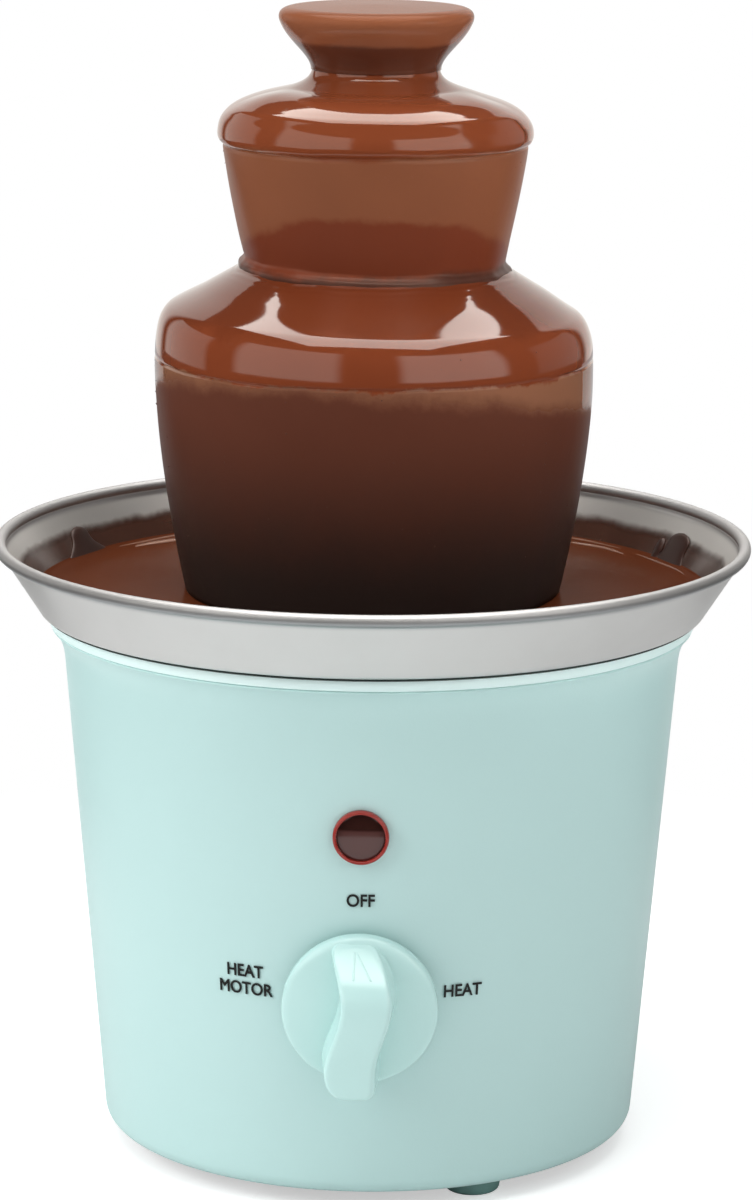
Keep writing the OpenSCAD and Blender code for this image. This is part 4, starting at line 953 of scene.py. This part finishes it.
def makeDisc():  # shallow dome with a rounded rim and a recess for the switch's nut
    k = knob
    r, rim, gap, edge, middle = (k[key] for key in ("r", "rim", "gap", "edge", "middle"))
    recess = [(middle, k["recessTop"]), (k["recess"], k["recessTop"]), (k["recess"], gap)]
    under = straight((k["recess"], gap), (r - edge, gap), 6)
    corner = arc((r - edge, gap + edge), edge, -90, 0, 6)
    shoulder = moved((r, rim), (0, -1.2), (-0.1, 0.2), (-1.4, 0.4), (-3, 0.7), (-7, 1.5))
    path = joined(recess, under, corner, bezier(*shoulder[:4], 12),
                  bezier(*shoulder[3:], (8, k["dome"]), (middle, k["dome"]), 24))
    return cappedMesh("disc", onWall(swept(path, 160), k["height"]))


def makeGrip():  # squared-off loops that climb the drafted walls, round the edge and close on the centreline
    g = grip
    phi = allRound(200)
    power = 2 / g["square"]
    across = np.sign(np.cos(phi)) * np.abs(np.cos(phi)) ** power
    along = np.sign(np.sin(phi)) * np.abs(np.sin(phi)) ** power
    wall = np.linspace(0, 1, 14)
    turn = np.radians(np.linspace(0, 90, 9))[1:]
    bend = 1 - np.cos(turn)
    up = g["shoulder"]
    level = np.concatenate([up * wall, up + (1 - up) * np.sin(turn), np.ones(9)])[:, None]
    sides = g["flare"] - g["draft"] * wall ** g["hollow"]
    width = np.concatenate([sides, sides[-1] - g["edge"] * bend, np.linspace(g["flat"], 0, 9)])[:, None]
    long = 1 - g["shrink"] * wall
    length = np.concatenate([long, long[-1] - g["nose"] * bend, np.full(9, g["flatLong"])])[:, None]
    y = (g["top"] + g["low"]) / 2 + (g["top"] - g["low"]) / 2 * along * length
    half = g["half"] * (g["waist"] + g["ends"] * (y / knob["r"]) ** 2)
    x = gripMid(y) + half * across * width
    z = g["base"] + (gripHigh(y) - g["base"]) * level + g["crown"] * (1 - width ** 2) * (level >= 1)
    return welded(cappedMesh("grip", onWall(np.stack([x, y, z], -1), knob["height"]), (True, False)))


pointer = {"tip": 16.2, "foot": 11.2, "apart": 0.2, "spread": 1.9, "half": 0.34, "lift": 0.1, "proud": 0.3}


def makePointer():  # two fine ridges that meet at the top of the ramp, half round in section
    p = pointer
    t = np.linspace(0, 1, 30)[:, None]
    turn = allRound(12)
    y = p["tip"] + (p["foot"] - p["tip"]) * t
    z = gripHigh(y) + p["lift"] + p["proud"] * np.sin(turn)
    bars = []
    for way in (-1, 1):
        x = gripMid(y) + way * (p["apart"] + p["spread"] * t) + p["half"] * np.cos(turn)
        bars.append(cappedMesh("bar", onWall(np.stack([x, y + 0 * turn, z], -1), knob["height"])))
    return mergedMesh("pointer", bars)


addPiece("knob_disc", makeDisc(), "knob", "mint_knob", "knob")
addPiece("knob_grip", makeGrip(), "knob", "mint_knob")
addPiece("knob_pointer", makePointer(), "knob", "mint_knob")
print("knob made")

lamp = {
    "height": 98.0, "r": 6.85, "ring": 0.9, "proud": 1.7, "crest": 0.55, "seat": 0.1,
    "lens": 5.9, "lensHigh": 1.0, "lensSeat": 0.2, "middle": 0.3,
}


def makeBezel():  # a rounded ring
    r, top = lamp["r"], lamp["proud"]
    inner, crest = r - lamp["ring"], r - lamp["ring"] * lamp["crest"]
    outside = bezier((r, 0.7), (r, 1.5), (r - 0.3, top), (crest, top), 9)
    inside = bezier((crest, top), (r - lamp["ring"] * 0.8, top), (inner, 1.5), (inner, 1.2), 6)
    path = joined([(inner, lamp["seat"]), (r, lamp["seat"])], outside, inside)
    return gridMesh("bezel", onWall(swept(path, 96), lamp["height"]))


def makeLens():  # a barely domed cap set into the ring
    r, top, middle = lamp["lens"], lamp["lensHigh"], lamp["middle"]
    dome = bezier((r, 0.6), (r - 0.1, 0.9), (3.4, top + 0.1), (middle, top + 0.12), 20)
    path = joined([(middle, lamp["lensSeat"]), (r, lamp["lensSeat"])], dome)
    return cappedMesh("lens", onWall(swept(path, 96), lamp["height"]))


addPiece("lamp_ring", makeBezel(), "base", "lamp_red", "lamp_bezel")
addPiece("lamp_window", makeLens(), "base", "lamp_dark", "lamp_lens", look="smoked_lens")

# switch words: text made a mesh, then wrapped on the cone

words = {"size": 4.4, "narrow": 0.9, "proud": 0.1, "bold": 0.085, "thick": 0.05}
labels = [("OFF", 0.0, 81.5), ("HEAT", -23.0, 61.3), ("MOTOR", -23.0, 56.8), ("HEAT", 20.0, 57.6)]


def makeWord(text, turn, height):  # angle is turn plus x over the cone's radius, z is height plus y
    curve = bpy.data.curves.new("word", "FONT")
    curve.body = text
    curve.size = words["size"]
    curve.align_x = "CENTER"
    curve.align_y = "CENTER"
    curve.extrude = words["thick"]
    curve.bevel_depth = words["bold"]
    curve.bevel_resolution = 0
    holder = bpy.data.objects.new("word", curve)
    mesh = bpy.data.meshes.new_from_object(holder)
    flat = meshPoints(mesh)
    z = height + flat[:, 1] * math.cos(math.atan(taper))
    r = wallR(z) + words["proud"] + flat[:, 2]
    a = math.radians(turn - 90) + words["narrow"] * flat[:, 0] / wallR(height)
    mesh.vertices.foreach_set("co", (around(r, a, z) * mm).ravel())
    bpy.data.objects.remove(holder)
    return mesh


lettering = mergedMesh("lettering", [makeWord(*label) for label in labels], smooth=False)
addPiece("switch_words", lettering, "base", "dark_plastic", look="black_ink")
print("lamp and lettering made")

feet = {
    "r": 7.3, "ring": 55.0, "at": (-60, 60, 180), "high": 5.0, "edge": 1.4,
    "draft": 0.25, "waist": 2.2, "toe": 0.4, "hole": 2.5,
}


def makeFeet():  # one turned foot, copied to three places
    r, high, edge, toe = (feet[key] for key in ("r", "high", "edge", "toe"))
    side = straight((r - feet["draft"], feet["waist"]), (r, high), 5)
    path = joined([(toe, 0.0)], arc((r - edge - toe, edge), edge, -90, -12, 9), side,
                  [(feet["hole"], high), (toe, high)])
    places = [around(feet["ring"], np.radians(turn), 0) for turn in feet["at"]]
    return mergedMesh("feet", [cappedMesh("foot", swept(path, 72) + place) for place in places])


addPiece("feet_turned", makeFeet(), "base", "foot_rubber", "rubber_feet")
print("feet made")

# floor, world and lamps, in metres

studio = {
    "floor": (0.86, 0.86, 0.86, 1), "half": 6.0, "glow": 0.5, "near": 0.12, "far": 0.36,
    "ambient": 0.42,
}


def levelSheet(name, centre, half, order):  # a level rectangle; the order of its corners turns it up or down
    (x, y, z), (w, h) = centre, half
    mesh = bpy.data.meshes.new(name)
    corners = [(x - w, y - h, z), (x + w, y - h, z), (x + w, y + h, z), (x - w, y + h, z)]
    mesh.from_pydata(corners, [], [order])
    return mesh


def startBlank(name):  # a material with nothing in it but its output
    material = bpy.data.materials.new(name)
    material.use_nodes = True
    tree = material.node_tree
    tree.nodes.clear()
    return material, tree, put(tree, "OutputMaterial")


def makeFloor():  # a wide sheet; to the camera it turns white away from the object, and it keeps the shadow
    mesh = levelSheet("floor", (0, 0, 0), (studio["half"], studio["half"]), (0, 1, 2, 3))
    material, tree, result = startBlank("pale floor")
    plain = put(tree, "BsdfDiffuse", {"Color": studio["floor"]})
    glow = put(tree, "Emission", {"Strength": studio["glow"]})
    blank = put(tree, "Emission", {"Strength": 1.0})
    place = put(tree, "TexCoord")
    away = put(tree, "VectorMath", operation="LENGTH")
    far = put(tree, "MapRange", {"From Min": studio["near"], "From Max": studio["far"]})
    path = put(tree, "LightPath")
    lit = put(tree, "AddShader")
    seen = put(tree, "MixShader")
    pick = put(tree, "MixShader")
    wire((place, "Object", away, 0), (away, "Value", far, "Value"), (plain, 0, lit, 0), (glow, 0, lit, 1),
         (far, "Result", seen, 0), (lit, 0, seen, 1), (blank, 0, seen, 2),
         (path, "Is Camera Ray", pick, 0), (plain, 0, pick, 1), (seen, 0, pick, 2),
         (pick, 0, result, "Surface"))
    floor = bpy.data.objects.new("floor", mesh)
    mesh.materials.append(material)
    scene.collection.objects.link(floor)


def makeWorld():  # white to the camera and to mirrors, a softer even light for everything else
    world = bpy.data.worlds.new("studio")
    scene.world = world
    world.use_nodes = True
    tree = world.node_tree
    back = tree.nodes["Background"]
    back.inputs["Color"].default_value = white
    path = put(tree, "LightPath")
    first = put(tree, "Math", operation="MAXIMUM")
    seen = put(tree, "Math", operation="MAXIMUM")
    wire((path, "Is Camera Ray", first, 0), (path, "Is Glossy Ray", first, 1),
         (first, 0, seen, 0), (path, "Is Transmission Ray", seen, 1))
    feed(back, "Strength", spread(tree, seen.outputs[0], studio["ambient"], 1.0))


lamps = {
    "overhead": {"at": (0.0, -0.2, 1.1), "to": (0, 0, 0.2), "size": (0.9, 0.7), "power": 6.0},
    "leftKey": {"at": (-1.2, -0.5, 0.8), "to": (0, 0, 0.14), "size": (0.9, 0.9), "power": 13.2},
    "rightFill": {"at": (0.95, -0.85, 0.8), "to": (0, 0, 0.14), "size": (0.9, 0.9), "power": 2.5},
    "rightGrid": {"at": (1.05, -0.4, 0.46), "to": (0, 0, 0.27), "size": (0.35, 0.2), "power": 0.17,
                  "spread": 22.0},  # degrees, where a lamp's beam is narrowed
}
topCard = {"at": (0.0, 0.0, 1.05), "half": (0.5, 0.6), "glow": 6.4}
panels = {  # angles from the front
    "leftPanel": {"from": -78.0, "to": -12.0, "low": 0.1, "high": 1.1, "glow": 1.8},
    "rightPanel": {"from": 12.0, "to": 78.0, "low": 0.1, "high": 1.1, "glow": 2.2},
    "leftSide": {"from": -141.0, "to": -92.0, "low": 0.05, "high": 0.8, "glow": 0.9},
    "rightSide": {"from": 92.0, "to": 141.0, "low": 0.05, "high": 0.8, "glow": 0.4},
    "window": {"from": 141.0, "to": 219.0, "low": 0.0, "high": 1.18, "glow": 0.9},
}
room = {
    "table": 0.3, "r": 1.7, "panelR": 1.4, "sill": 0.85, "high": 1.6, "half": 141, "glow": 0.04,
    "tint": (1.0, 0.955, 0.9, 1.0), "soft": 0.12, "lift": 0.001, "middle": 0.02,
}


def aimed(at, to):  # a place that looks from one point at another
    way = Vector(to) - Vector(at)
    return Matrix.Translation(at) @ way.to_track_quat("-Z", "Y").to_matrix().to_4x4()


def makeLamp(name, box):  # a softbox that lights the object; its mirror image is the card's
    light = bpy.data.lights.new(name, "AREA")
    light.shape = "RECTANGLE"
    light.size, light.size_y = box["size"]
    light.energy = box["power"]
    light.spread = math.radians(box.get("spread", 180.0))
    holder = bpy.data.objects.new(name, light)
    scene.collection.objects.link(holder)
    holder.matrix_world = aimed(box["at"], box["to"])
    holder.visible_glossy = False


def addMirrored(name, mesh, glow, soft=0.0):  # stage that only shows in glossy surfaces
    material, tree, result = startBlank(name)
    shine = put(tree, "Emission", {"Color": room["tint"], "Strength": glow})
    wire((shine, 0, result, "Surface"))
    if soft:  # dims towards the first and last column of the grid
        place = put(tree, "TexCoord")
        split = put(tree, "SeparateXYZ")
        middle = put(tree, "Math", {1: 0.5}, operation="PINGPONG")
        ends = {"From Max": soft, "To Max": glow}
        dim = put(tree, "MapRange", ends, interpolation_type="SMOOTHSTEP")
        wire((place, "UV", split, 0), (split, "X", middle, 0), (middle, 0, dim, "Value"),
             (dim, "Result", shine, "Strength"))
    mesh.materials.append(material)
    card = bpy.data.objects.new(name, mesh)
    scene.collection.objects.link(card)
    for kind in ("camera", "diffuse", "shadow", "transmission", "volume_scatter"):
        setattr(card, "visible_" + kind, False)


def makePanel(name, panel):  # part of a drum round the object
    a = np.radians(np.linspace(panel["from"], panel["to"], 30) - 90)[None, :]
    z = np.array([panel["low"], panel["high"]])[:, None]
    grid = around(room["panelR"], a, z) / mm
    addMirrored(name, gridMesh(name, grid, closeRows=False, closeCols=False), panel["glow"], room["soft"])


def makeRoom():  # a dim room in mirrors: floor beyond the table, wall and ceiling, open behind the object
    a = np.radians(np.linspace(-90 - room["half"], -90 + room["half"], 90))[None, :]
    r = np.array([room["table"], room["r"], room["r"]])[:, None]
    z = np.array([room["lift"], room["lift"], room["sill"]])[:, None]
    grid = around(r, a, z) / mm
    addMirrored("room", gridMesh("room", grid, closeRows=False, closeCols=False), room["glow"])
    r, high = room["r"], room["high"]
    path = np.array([(r, room["sill"]), (r, high), (room["middle"], high)]) / mm
    addMirrored("ceiling", gridMesh("ceiling", swept(path, 120), closeRows=False), room["glow"])


makeFloor()
makeWorld()
makeRoom()
for lampName, lampValues in lamps.items():
    makeLamp(lampName, lampValues)
addMirrored("topCard", levelSheet("topCard", topCard["at"], topCard["half"], (0, 3, 2, 1)), topCard["glow"])
for panelName, panelValues in panels.items():
    makePanel(panelName, panelValues)
print("floor, world and lamps made")
